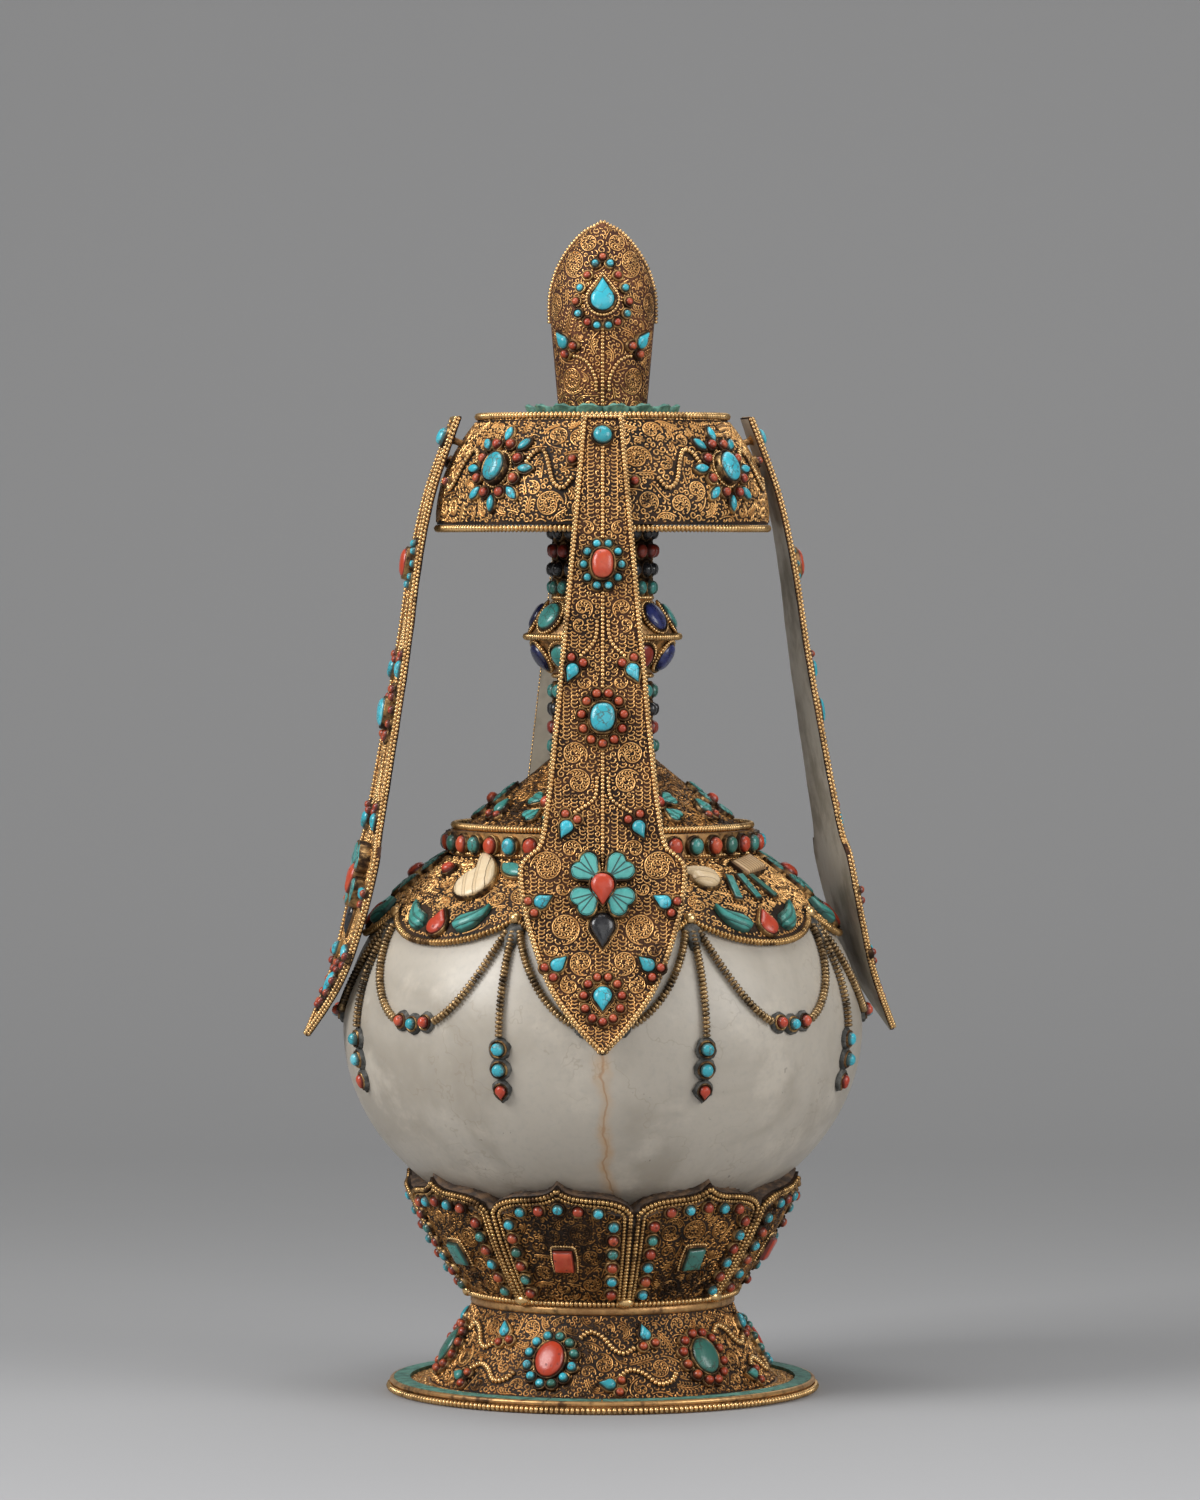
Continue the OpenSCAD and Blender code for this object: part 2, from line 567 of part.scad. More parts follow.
// Round wire along points; ends are closed unless the path is a loop
function unit(v) = v / norm(v);
function along(p, i, loop) = let (n = len(p)) unit(loop
    ? p[(i + 1) % n] - p[(i + n - 1) % n]
    : p[min(i + 1, n - 1)] - p[max(i - 1, 0)]);
module wire(p, out, d, loop = false) {
    n = len(p);
    spots = [for (i = [0:n - 1]) let (t = along(p, i, loop), a = unit(cross(t, out[i])), b = cross(a, t))
        for (k = [0:SIDES - 1]) p[i] + d / 2 * (a * cos(360 * k / SIDES) + b * sin(360 * k / SIDES))];
    last = loop ? n - 1 : n - 2;
    sides = [for (i = [0:last]) for (k = [0:SIDES - 1])
        let (a = i * SIDES, b = ((i + 1) % n) * SIDES, m = (k + 1) % SIDES) each
        [[a + k, a + m, b + m], [a + k, b + m, b + k]]];
    ends = loop ? [] : [for (k = [1:SIDES - 2]) each
        [[0, k + 1, k], [(n - 1) * SIDES, (n - 1) * SIDES + k, (n - 1) * SIDES + k + 1]]];
    polyhedron(points = spots, faces = [for (f = concat(sides, ends)) reversed(f)]);
}

function round_at(r, az, z) = [r * cos(az), r * sin(az), z];

// Flat round plate under the foot
module base_plate() color(COPPER) rotate_extrude()
    polygon([[0, 0], [base_r, 0], [base_r, base_h], [0, base_h]]);

// Rope wires round the edge of the plate and round the waist ring
module foot_ropes() color(ROPE) {
    ring(base_r + rope_d / 2 + seat_gap / 2, rope_d / 2 + 0.3, rope_d);
    translate([0, 0, z_waist + seat_gap]) rotate_extrude()
        translate([waist_in, 0]) square([sheet + waist_lip, waist_h]);
}

module base_inlay() color(GREEN)
    for (i = [0:inlay_count - 1])
        rotate([0, 0, 360 * i / inlay_count]) translate([0, 0, base_h + seat_gap])
            rotate_extrude(angle = 360 / inlay_count - 0.4)
                translate([base_r - inlay_w, 0]) square([inlay_w, inlay_t]);

module foot() color(GILT) shell(foot_wall, sheet);

// Upper edge of a petal: round shoulders, a slow rise and a small point in the middle
function petal_edge(t) = let (u = abs(t))
    petal_notch * ((0.62 - 0.14 * u) * (1 - pow(u, 7)) + 0.38 * pow(1 - u, 9));
module lotus_cup() color(GILT) {
    half = wall_r(cup_wall, z_cup + cup_h - petal_notch) * sin(petal_half);
    reach = cup_r * sin(petal_half) + 0.3;
    difference() {
        union() {
            shell(cup_wall, sheet);
            rotate_extrude() translate([waist_in, z_cup]) square([waist_lip + 0.4, sheet]);
        }
        for (i = [0:petals - 1])
            rotate([0, 0, petal_turn + 360 * i / petals])
                translate([cup_r * 0.7, 0, z_cup + cup_h - petal_notch]) rotate([90, 0, 90])
                    linear_extrude(cup_r)
                    polygon(concat(
                        [[-reach, -0.05]],
                        [for (k = [-20:20]) [half * k / 20, petal_edge(k / 20) - 0.05]],
                        [[reach, -0.05], [reach, petal_notch * 3], [-reach, petal_notch * 3]]));
    }
}

// Brown lac that fills the cup under the stone
module cement_bed() color(LAC) {
    low = z_cup + sheet + seat_gap;
    high = z_cup + cup_h - petal_notch - 1.2;
    inset = sheet + seat_gap;
    bed = [cup_wall[0], cup_wall[1] - inset, cup_wall[2], cup_wall[3] - inset, cup_wall[4]];
    rotate_extrude() polygon(concat(
        [[0, low]],
        [for (i = [0:STEPS]) let (z = low + (high - low) * i / STEPS) [wall_r(bed, z), z]],
        reversed(belly_line(z_stone_low - seat_gap, high, seat_gap, STEPS)),
        [[0, z_stone_low - seat_gap]]));
}

// Hollow globe of pale stone, with flat lands at its foot and mouth
module stone_belly() color(STONE) {
    hollow_low = z_stone_low + belly_wall;
    hollow_top = z_stone_top - belly_wall;
    rotate_extrude() polygon(concat(
        [[0, z_stone_low]],
        belly_line(z_stone_low, z_stone_top, 0, 48),
        [[mouth_r, z_stone_top], [mouth_r, hollow_top]],
        reversed(belly_line(hollow_low, hollow_top, -belly_wall, 32)),
        [[0, hollow_low]]));
}

// Lower edge of the mantle: the height over the scallop's low point at share t of half a scallop
function scallop_edge(t) = scallop_rise * pow(abs(t), 2.2);
z_scallop = z_wide + scallop_low;
scallop_half = 180 / scallops;
module shoulder_mantle() color(GILT) {
    edge_r = belly_at(z_scallop + scallop_rise, mantle_lift);
    half = edge_r * sin(scallop_half) + 0.05;
    reach = belly_at(z_scallop, mantle_lift) * sin(scallop_half) + 0.3;
    cusp = scallop_rise + 0.05;
    difference() {
        rotate_extrude() polygon(concat(
            belly_line(z_scallop, mantle_z(collar_in - 2), mantle_lift, 20),
            reversed(belly_line(z_scallop, mantle_z(collar_in - 2), seat_gap, 20))));
        for (i = [0:scallops - 1])
            rotate([0, 0, -90 + panel_step * i]) translate([belly_r * 0.5, 0, z_scallop]) rotate([90, 0, 90])
                linear_extrude(belly_r) polygon(concat(
                    [[-reach, cusp]],
                    [for (k = [-10:10]) [half * k / 10, scallop_edge(k / 10) + 0.05]],
                    [[reach, cusp], [reach, -scallop_rise], [-reach, -scallop_rise]]));
    }
}

function edge_spot(i, k, lift) = let (t = k / 6, z = z_scallop + scallop_edge(t))
    round_at(belly_at(z, lift), -90 + panel_step * i + scallop_half * t, z);
module mantle_rope() color(ROPE) {
    lift = seat_gap + rope_d / 2;
    path = [for (i = [0:scallops - 1]) for (k = [-5:6]) edge_spot(i, k, lift)];
    wire(path, [for (p = path) unit([p[0], p[1], belly_r * 0.5])], rope_d, loop = true);
}

// Swags and pendants of beaded wire that lie on the stone
module garland_chains() color(COPPER) {
    lift = seat_gap + chain_d / 2;
    z_hang = z_scallop + scallop_rise - rope_d - chain_d;
    side = 2.6;
    cup_side = degrees(cup_pitch * 1.36, belly_r);
    for (i = [0:scallops - 1]) {
        az = -90 + panel_step * i;
        for (s = [-1, 1]) {
            swag = [for (k = [0:9]) let (t = k / 9, a = scallop_half - degrees(side, belly_r), b = cup_side)
                let (spread = b + (a - b) * t, z = z_swag + (z_hang - z_swag) * pow(spread / a, 2.2))
                round_at(belly_at(z, lift), az + s * spread, z)];
            wire(swag, [for (p = swag) unit([p[0], p[1], 0])], chain_d);
        }
        pendant = [for (k = [0:5]) let (z = z_hang + (z_pendant + cup_pitch * 0.6 - z_hang) * k / 5)
            round_at(belly_at(z, lift), az + scallop_half, z)];
        wire(pendant, [for (p = pendant) unit([p[0], p[1], 0])], chain_d);
    }
}

module collar_band() color(COPPER) rotate_extrude()
    polygon([[collar_in, mantle_z(collar_in) + seat_gap], [collar_r, mantle_z(collar_r) + seat_gap],
        [collar_r, z_collar_top], [collar_in, z_collar_top]]);

module shoulder_cone() color(GILT) shell(cone_wall, sheet);

// Rope wires at the foot of the cone and round the knop
module neck_ropes() color(ROPE) {
    ring(collar_r - rope_d / 2, z_collar_top + rope_d / 2 + seat_gap, rope_d);
    ring(knop_r + rope_d / 2 + seat_gap, knop_mid, rope_d);
}

module lower_neck() color(COPPER) translate([0, 0, z_stone_top + seat_gap]) difference() {
    cylinder(r = neck_r, h = z_knop - z_stone_top - seat_gap);
    translate([0, 0, -1]) cylinder(r = neck_in, h = z_knop);
}

module neck_knop() color(COPPER) rotate_extrude()
    polygon(concat(
        [[neck_in, knop_low[0]]],
        [for (i = [0:6]) let (z = wall_z(knop_low, i / 6)) [wall_r(knop_low, z), z]],
        [for (i = [1:6]) let (z = wall_z(knop_high, i / 6)) [wall_r(knop_high, z), z]],
        [[neck_in, knop_high[2]]]));

module upper_neck() color(COPPER) translate([0, 0, z_upper]) difference() {
    cylinder(r = neck_r, h = upper_neck_h);
    translate([0, 0, -1]) cylinder(r = neck_in, h = upper_neck_h + 2);
}

// Tube that lines the neck from the mouth down into the stone
module neck_liner() color(ROPE) translate([0, 0, z_stone_top - belly_wall]) difference() {
    cylinder(r = liner_out, h = z_mouth - z_stone_top + belly_wall);
    translate([0, 0, -1]) cylinder(r = liner_r, h = z_mouth);
}

module foot_settings() color(ROPE) {
    wall_settings(foot_wall, foot_jewels);
    wall_settings(cup_wall, cup_jewels);
}

module foot_stones(kind) {
    wall_stones(foot_wall, foot_jewels, kind);
    wall_stones(cup_wall, cup_jewels, kind);
}

module foot_turquoise() color(TURQUOISE) foot_stones("turquoise");
module foot_coral() color(CORAL) foot_stones("coral");

module shoulder_settings() color(ROPE) {
    belly_settings(mantle_lift, mantle_jewels, solder);
    belly_settings(seat_gap * 2, garland_jewels, 0);
    wall_settings(collar_wall, collar_jewels);
    wall_settings(cone_wall, cone_jewels);
}

module shoulder_stones(kind) {
    belly_stones(mantle_lift, mantle_jewels, kind);
    belly_stones(seat_gap * 2, garland_jewels, kind);
    wall_stones(collar_wall, collar_jewels, kind);
    wall_stones(cone_wall, cone_jewels, kind);
}

module shoulder_turquoise() color(TURQUOISE) shoulder_stones("turquoise");
module shoulder_coral() color(CORAL) shoulder_stones("coral");
module shoulder_bone() color(BONE) shoulder_stones("bone");

module neck_settings() color(ROPE) {
    wall_settings(lower_wall, lower_jewels);
    wall_settings(upper_wall, upper_jewels);
    wall_settings(knop_low, knop_row(knop_low, 0));
    wall_settings(knop_high, knop_row(knop_high, 0.5));
}

module neck_row_stones(kind) {
    wall_stones(lower_wall, lower_jewels, kind);
    wall_stones(upper_wall, upper_jewels, kind);
    wall_stones(knop_low, knop_row(knop_low, 0), kind);
    wall_stones(knop_high, knop_row(knop_high, 0.5), kind);
}

module neck_turquoise() color(TURQUOISE) neck_row_stones("turquoise");
module neck_coral() color(CORAL) neck_row_stones("coral");
module neck_lapis() color(LAPIS) neck_row_stones("lapis");

// Frame of a lappet pin: z runs outwards along the pin from the lappet's middle
module at_pin(az)
    rotate([0, 0, az]) translate([r_pin, 0, z_pin]) rotate([0, 90 - pin_tilt, 0]) children();

bush_r = pin_r + 1.2;
bush_in = lappet_gap + 7.5;
module hat_band() color(GILT) difference() {
    union() {
        shell(hat_wall, sheet);
        for (az = pin_azimuths) at_pin(az)
            translate([0, 0, -bush_in]) cylinder(r = bush_r, h = bush_in - lappet_gap);
    }
    for (az = pin_azimuths) at_pin(az)
        translate([0, 0, -bush_in - 1]) cylinder(r = pin_r + pin_gap, h = bush_in + 2);
}

// Flat top of the hat, let into the band
module hat_top() color(COPPER) translate([0, 0, z_hat_plate])
    cylinder(r = hat_top_r - sheet - seat_gap, h = sheet + hat_let);

module hat_ropes() color(ROPE) {
    ring(hat_top_r - 0.2, z_hat_top + rope_d / 2 + seat_gap / 2, rope_d);
    ring(hat_r - 0.2, z_hat - rope_d / 2 - seat_gap / 2, rope_d);
}

// Green inlaid ring under the finial
module lotus_ring() color(GREEN) {
    lobe = lotus_r * sin(180 / lotus_lobes) * 1.02;
    translate([0, 0, z_lotus]) difference() {
        union() {
            cylinder(r = lotus_r - lobe, h = lotus_t);
            for (i = [0:lotus_lobes - 1]) rotate([0, 0, 360 * i / lotus_lobes])
                translate([lotus_r - lobe, 0, 0]) cylinder(r = lobe, h = lotus_t);
        }
        translate([0, 0, -1]) cylinder(r = finial_r * 0.6, h = lotus_t + 2);
    }
}

// Finial: thin leaves over one form
module finial_form(inset) hull()
    for (s = finial_sections) translate([0, 0, z_finial + finial_h * s[0] - inset * s[0]])
        scale([max(0.3, s[1] - inset), max(0.3, s[2] - inset)]) cylinder(r = 1, h = 0.01, $fn = 32);
module finial() color(GILT) difference() {
    finial_form(0);
    translate([0, 0, -0.5]) finial_form(sheet * 1.6);
}

// Bead wire over the seam where the two leaves meet
module finial_rope() color(ROPE) {
    out = seam_d / 2 + 3 * seat_gap;
    edge = [for (s = finial_sections) if (s[0] > 0.44) [s[1], z_finial + finial_h * s[0]]];
    n = len(edge) - 1;
    seam = [for (i = [0:n])
        let (t = unit(edge[min(i + 1, n)] - edge[max(i - 1, 0)])) edge[i] + [t[1], -t[0]] * out];
    right = curve(concat(seam, [[0, z_tip - seam_d / 2]]), 3);
    path = concat(
        [for (p = right) [p[0], 0, p[1]]],
        [for (p = reversed(right)) if (p[0] > 0) [-p[0], 0, p[1]]]);
    wire(path, [for (p = path) [0, 1, 0]], seam_d);
}

// Turned plug: a stem under the hat top, a flange on the mouth and a stopper in the liner
module lid_plug() color(COPPER) {
    flange = z_mouth + seat_gap;
    stop_r = liner_r - plug_gap;
    low = flange - plug_l;
    rotate_extrude() polygon([[0, low], [stop_r - 0.8, low], [stop_r, low + 1.5], [stop_r, flange],
        [neck_r, flange], [neck_r, flange + 2.5], [stop_r - 2, flange + 4.5],
        [stop_r - 2, z_hat_plate - seat_gap], [0, z_hat_plate - seat_gap]]);
}

// The settings on a leaf lean with its face
finial_face = [finial_sections[2], finial_sections[5]];
finial_lean = (finial_face[1][2] - finial_face[0][2]) / (finial_face[1][0] - finial_face[0][0]) / finial_h;
function finial_seat(j) = let (reach = finial_reach(j[0], abs(j[1]) - 90) + seat_gap)
    [z_finial, reach - finial_lean * (j[0] - z_finial), j[0], reach, 0];
module lid_seat(j, leaf) {
    if (leaf) on_wall(finial_seat(j), j) children();
    else on_wall(finial_wall, j) children();
}
function on_leaf(j) = j[0] > z_finial + finial_h * 0.43;

module lid_settings() color(ROPE) {
    wall_settings(hat_wall, hat_jewels);
    for (j = finial_jewels) lid_seat(j, on_leaf(j)) setting(j, solder);
}

module lid_stones(kind) {
    wall_stones(hat_wall, hat_jewels, kind);
    for (j = finial_jewels) if (j[6] == kind) lid_seat(j, on_leaf(j)) stone(j);
}

module lid_turquoise() color(TURQUOISE) lid_stones("turquoise");
module lid_coral() color(CORAL) lid_stones("coral");

// Lappet: a slab bent to the side line, cut to the leaf outline
module lappet_plate(az) color(GILT) {
    n = len(lappet_line) - 1;
    normals = [for (i = [0:n])
        let (t = unit(lappet_line[min(i + 1, n)] - lappet_line[max(i - 1, 0)])) [t[0], -t[1]]];
    face = [for (i = [0:n]) [lappet_line[i][1] + normals[i][0] * lappet_t / 2,
        z_lappet - lappet_line[i][0] - normals[i][1] * lappet_t / 2]];
    back = [for (i = [0:n]) [lappet_line[i][1] - normals[i][0] * lappet_t / 2,
        z_lappet - lappet_line[i][0] + normals[i][1] * lappet_t / 2]];
    edge = [for (p = width_line) [p[1], z_lappet - p[0]]];
    rotate([0, 0, az]) intersection() {
        rotate([90, 0, 0]) translate([0, 0, -lappet_leaf_w * 1.2]) linear_extrude(lappet_leaf_w * 2.4)
            polygon(concat(face, reversed(back)));
        rotate([90, 0, 90]) linear_extrude(lappet_l)
            polygon(concat(edge, [for (p = reversed(edge)) if (p[0] > 0) [-p[0], p[1]]]));
    }
}

// Pin with a flared foot on the lappet's back and a rivet head inside the hat
module lappet_pin(az) color(COPPER) at_pin(az) {
    foot_end = lappet_t / 2 - 0.3;
    translate([0, 0, -bush_in - 1.7]) cylinder(r = pin_r, h = bush_in + 1.7 - foot_end);
    translate([0, 0, -bush_in - 1.7]) cylinder(r = bush_r - 0.3, h = 1.4);
    translate([0, 0, -foot_end - 1.6]) cylinder(r1 = pin_r, r2 = pin_r * 1.9, h = 1.6);
}

module lappet_settings(az) color(ROPE)
    for (j = lappet_jewels) on_lappet(az, j) setting(j, solder);

module lappet_stones(az, kind)
    for (j = lappet_jewels) if (j[6] == kind) on_lappet(az, j) stone(j);

module lappet_turquoise(az) color(TURQUOISE) lappet_stones(az, "turquoise");

// The corals of a lappet, and its one onyx drop
module lappet_coral(az) {
    color(CORAL) lappet_stones(az, "coral");
    color(LAPIS) lappet_stones(az, "onyx");
}

base_plate();
foot_ropes();
base_inlay();
foot();
lotus_cup();
cement_bed();
foot_settings();
foot_turquoise();
foot_coral();
stone_belly();
shoulder_mantle();
mantle_rope();
garland_chains();
collar_band();
shoulder_cone();
neck_ropes();
shoulder_settings();
shoulder_turquoise();
shoulder_coral();
shoulder_bone();
lower_neck();
neck_knop();
upper_neck();
neck_liner();
neck_settings();
neck_turquoise();
neck_coral();
neck_lapis();
hat_band();
hat_top();
hat_ropes();
lotus_ring();
finial();
finial_rope();
lid_plug();
lid_settings();
lid_turquoise();
lid_coral();
lappet_plate(pin_front);  // lappet_front_plate
lappet_pin(pin_front);  // lappet_front_pin
lappet_settings(pin_front);  // lappet_front_settings
lappet_turquoise(pin_front);  // lappet_front_turquoise
lappet_coral(pin_front);  // lappet_front_coral
lappet_plate(pin_right);  // lappet_right_plate
lappet_pin(pin_right);  // lappet_right_pin
lappet_settings(pin_right);  // lappet_right_settings
lappet_turquoise(pin_right);  // lappet_right_turquoise
lappet_coral(pin_right);  // lappet_right_coral
lappet_plate(pin_back);  // lappet_back_plate
lappet_pin(pin_back);  // lappet_back_pin
lappet_settings(pin_back);  // lappet_back_settings
lappet_turquoise(pin_back);  // lappet_back_turquoise
lappet_coral(pin_back);  // lappet_back_coral
lappet_plate(pin_left);  // lappet_left_plate
lappet_pin(pin_left);  // lappet_left_pin
lappet_settings(pin_left);  // lappet_left_settings
lappet_turquoise(pin_left);  // lappet_left_turquoise
lappet_coral(pin_left);  // lappet_left_coral
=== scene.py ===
import copy
import math

import bpy
import numpy as np
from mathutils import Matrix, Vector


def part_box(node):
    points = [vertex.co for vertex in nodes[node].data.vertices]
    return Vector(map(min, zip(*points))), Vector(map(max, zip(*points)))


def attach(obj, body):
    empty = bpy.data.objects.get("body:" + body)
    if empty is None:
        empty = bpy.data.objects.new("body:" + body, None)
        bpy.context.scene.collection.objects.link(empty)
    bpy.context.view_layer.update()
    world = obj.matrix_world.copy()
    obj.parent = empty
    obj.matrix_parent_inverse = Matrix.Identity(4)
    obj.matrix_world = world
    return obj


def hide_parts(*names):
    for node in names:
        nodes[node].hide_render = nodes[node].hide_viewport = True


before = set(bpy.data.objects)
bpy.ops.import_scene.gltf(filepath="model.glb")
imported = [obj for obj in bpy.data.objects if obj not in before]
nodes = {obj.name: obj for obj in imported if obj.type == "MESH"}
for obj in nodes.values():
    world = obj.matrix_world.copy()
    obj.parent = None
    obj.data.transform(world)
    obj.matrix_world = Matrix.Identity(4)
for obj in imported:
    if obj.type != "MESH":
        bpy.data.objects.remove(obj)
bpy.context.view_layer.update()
MM = 0.001
FULL = 2 * math.pi
FRONT = -math.pi / 2


# Node graphs


class Value:
    """A socket that takes part in Python arithmetic."""

    def __init__(self, graph, socket):
        self.graph, self.socket = graph, socket

    def _math(self, operation, *parts):
        return self.graph.add("ShaderNodeMath", {"operation": operation}, dict(enumerate(parts)))

    def __add__(self, other):
        return self._math("ADD", self, other)

    def __radd__(self, other):
        return self._math("ADD", other, self)

    def __sub__(self, other):
        return self._math("SUBTRACT", self, other)

    def __rsub__(self, other):
        return self._math("SUBTRACT", other, self)

    def __mul__(self, other):
        return self._math("MULTIPLY", self, other)

    def __rmul__(self, other):
        return self._math("MULTIPLY", other, self)

    def __abs__(self):
        return self._math("ABSOLUTE", self)

    def sine(self):
        return self._math("SINE", self)

    def at_most(self, limit):
        return self._math("MINIMUM", self, limit)


class Graph:
    """A node tree that is filled through one method."""

    def __init__(self, tree):
        self.tree = tree

    def add(self, kind, settings=None, inputs=None, output=0):
        node = self.tree.nodes.new(kind)
        for name, value in (settings or {}).items():
            setattr(node, name, value)
        for key, value in (inputs or {}).items():
            if isinstance(value, Value):
                self.tree.links.new(value.socket, node.inputs[key])
            else:
                node.inputs[key].default_value = value
        self.last = node
        return Value(self, node.outputs[output]) if node.outputs else None


class Finish(Graph):
    """A material: textures on Object coordinates, sizes in millimetres."""

    def __init__(self, name):
        self.material = bpy.data.materials.new(name)
        self.material.use_nodes = True
        super().__init__(self.material.node_tree)
        self.tree.nodes.clear()
        self.where = self.add("ShaderNodeTexCoord", output="Object")

    def noise(self, size, detail=3.0, rough=0.55, warp=0.0, where=None):
        return self.add("ShaderNodeTexNoise", None, {
            "Vector": where or self.where, "Scale": 1000.0 / size, "Detail": detail, "Roughness": rough,
            "Distortion": warp})

    def cells(self, size, feature="F1", where=None):
        return self.add("ShaderNodeTexVoronoi", {"feature": feature},
                        {"Vector": where or self.where, "Scale": 1000.0 / size}, "Distance")

    def axis(self, name):
        return self.add("ShaderNodeSeparateXYZ", None, {0: self.where}, name)

    def stretched(self, x, y, z):
        return self.add("ShaderNodeMapping", None, {"Vector": self.where, "Scale": (x, y, z)})

    def point_value(self, name):
        return self.add("ShaderNodeAttribute", {"attribute_name": name}, output="Fac")

    def shape(self, value, low, high):
        return self.add("ShaderNodeMapRange", {"interpolation_type": "SMOOTHSTEP"},
                        {0: value, 1: low, 2: high, 3: 0.0, 4: 1.0})

    def blend(self, a, b, share):
        def full(c):
            return c if isinstance(c, Value) else (*c, 1.0)
        return self.add("ShaderNodeMix", {"data_type": "RGBA"}, {0: share, 6: full(a), 7: full(b)}, 2)

    def surface(self, colour, rough, metal=0.0, height=None, depth=0.1, clear=None, **fixed):
        """Ends the graph; depth is the bump's, in millimetres, clear the share that is seen through,
        and fixed holds sockets with a constant value."""
        inputs = {"Base Color": colour, "Roughness": rough, "Metallic": metal}
        if height is not None:
            inputs["Normal"] = self.add("ShaderNodeBump", None,
                                        {"Height": height, "Distance": depth * MM, "Strength": 1.0})
        for name, value in fixed.items():
            inputs[name.replace("_", " ")] = value
        shader = self.add("ShaderNodeBsdfPrincipled", None, inputs)
        if clear is not None:
            nothing = self.add("ShaderNodeBsdfTransparent")
            shader = self.add("ShaderNodeMixShader", None, {0: clear, 1: shader, 2: nothing})
        self.add("ShaderNodeOutputMaterial", None, {"Surface": shader})
        return self.material


# Finishes


def gilt_finish(name, bright, dull, grime, share=0.5, soil=0.42, metal=0.9, gloss=0.0):
    """Gilded metal: worn bright and dull patches, with soot in the rest."""
    f = Finish(name)
    patches = f.noise(11, 4)
    fine = f.noise(1.3, 3)
    worn = f.shape(patches * 0.62 + fine * 0.38, share - 0.13, share + 0.13)
    dirt = f.shape(f.noise(4.2, 4, 0.65) * 0.6 + f.noise(26, 3) * 0.4, soil, soil + 0.14)
    colour = f.blend(grime, f.blend(dull, bright, worn), dirt)
    rough = 0.5 - gloss - 0.16 * worn - 0.06 * dirt + 0.1 * fine
    return f.surface(colour, rough, metal, f.noise(0.7, 2), 0.03)


def ground_finish(name, low, high, edge):
    """Sheet behind the wires: brown metal, darker where soot has settled, with scratches of bare copper."""
    f = Finish(name)
    patches = f.noise(13, 4)
    fine = f.noise(1.1, 4, 0.6)
    bare = f.shape(fine, 0.55, 0.72) * f.shape(patches, 0.4, 0.6)
    colour = f.blend(f.blend(low, high, f.shape(patches * 0.7 + fine * 0.3, 0.38, 0.62)), edge, bare * 0.6)
    return f.surface(colour, 0.62 - 0.12 * bare + 0.1 * fine, 0.5, fine, 0.12)


def turquoise_finish(name, clear, deep, pale, vein):
    """Clouded turquoise with a web of dark veins, and a dark edge at its strip that is partly painted shade
    where the strip meets the stone and partly dark cement.
    """
    f = Finish(name)
    tone = f.point_value("tone")
    rim = f.point_value("rim")
    clouds = f.noise(3.4, 4, 0.6, 0.6)
    stray = f.add("ShaderNodeTexNoise", None, {"Vector": f.where, "Scale": 500.0, "Detail": 3.0}, "Color")
    stray = f.add("ShaderNodeVectorMath", {"operation": "SCALE"}, {0: stray, 3: 0.003})
    crackle = f.cells(3.0, "DISTANCE_TO_EDGE",
                      where=f.add("ShaderNodeVectorMath", {"operation": "ADD"}, {0: f.where, 1: stray}))
    lines = (1 - f.shape(crackle, 0.015, 0.075)) * f.shape(f.noise(5.5, 3), 0.40, 0.58)
    body = f.blend(f.blend(clear, deep, f.shape(tone + clouds * 0.5, 0.62, 1.05)), pale,
                   f.shape(clouds - tone * 0.28, 0.44, 0.72) * 0.55)
    # The rim mask darkens the edge at the strip: painted shade where the strip meets the stone, with some
    # dark cement.
    colour = f.blend(f.blend(body, vein, lines * 0.75), vein, f.shape(rim, 0.84, 0.98) * 0.85)
    return f.surface(colour, 0.24 + 0.3 * lines + 0.12 * clouds, 0.0, f.noise(1.6, 3) - 0.8 * lines, 0.05,
                     Coat_Weight=0.25, Coat_Roughness=0.12)


def carved_finish(name, clear, deep, line):
    """Carved petal: a line inside its edge and three veins, over clouded stone."""
    f = Finish(name)
    along, across, rim = f.point_value("along"), f.point_value("across"), f.point_value("rim")
    clouds = f.noise(3.4, 4, 0.6, 0.6)

    def cut(off, width):
        return 1 - f.shape(abs(off), width * 0.5, width)

    spread = (along + 4.2) * 0.34
    veins = cut(across, 0.32) + cut(across - spread, 0.32) + cut(across + spread, 0.32)
    lines = (veins * (1 - f.shape(rim, 0.72, 0.78)) + cut(rim - 0.84, 0.05)).at_most(1.0)
    colour = f.blend(clear, deep, f.shape(clouds + f.point_value("tone") * 0.3, 0.45, 0.95))
    colour = f.blend(colour, line, lines * 0.85)
    # Darker edge at the strip: painted shade where the strip meets the stone, with some dark cement.
    colour = f.blend(colour, line, f.shape(rim, 0.95, 1.0) * 0.7)
    return f.surface(colour, 0.3 + 0.3 * lines, 0.0, clouds * 0.2 - lines, 0.25,
                     Coat_Weight=0.2, Coat_Roughness=0.15)


def curled_finish(name, clear, deep, line, pitch):
    """Carved leaf or shell: grooves along it, over clouded stone."""
    f = Finish(name)
    across, rim = f.point_value("across"), f.point_value("rim")
    clouds = f.noise(4.0, 4, 0.6, 0.6)
    lines = f.shape((across * (FULL / pitch) + clouds * 1.5).sine(), 0.35, 0.95)
    colour = f.blend(clear, deep, f.shape(clouds + f.point_value("tone") * 0.3, 0.4, 0.9))
    colour = f.blend(colour, line, lines * 0.55)
    # Darker edge at the strip: painted shade where the strip meets the stone, with some dark cement.
    colour = f.blend(colour, line, f.shape(rim, 0.84, 0.98) * 0.75)
    return f.surface(colour, 0.36 + 0.2 * lines, 0.0, clouds * 0.3 - lines, 0.5,
                     Coat_Weight=0.15, Coat_Roughness=0.2)


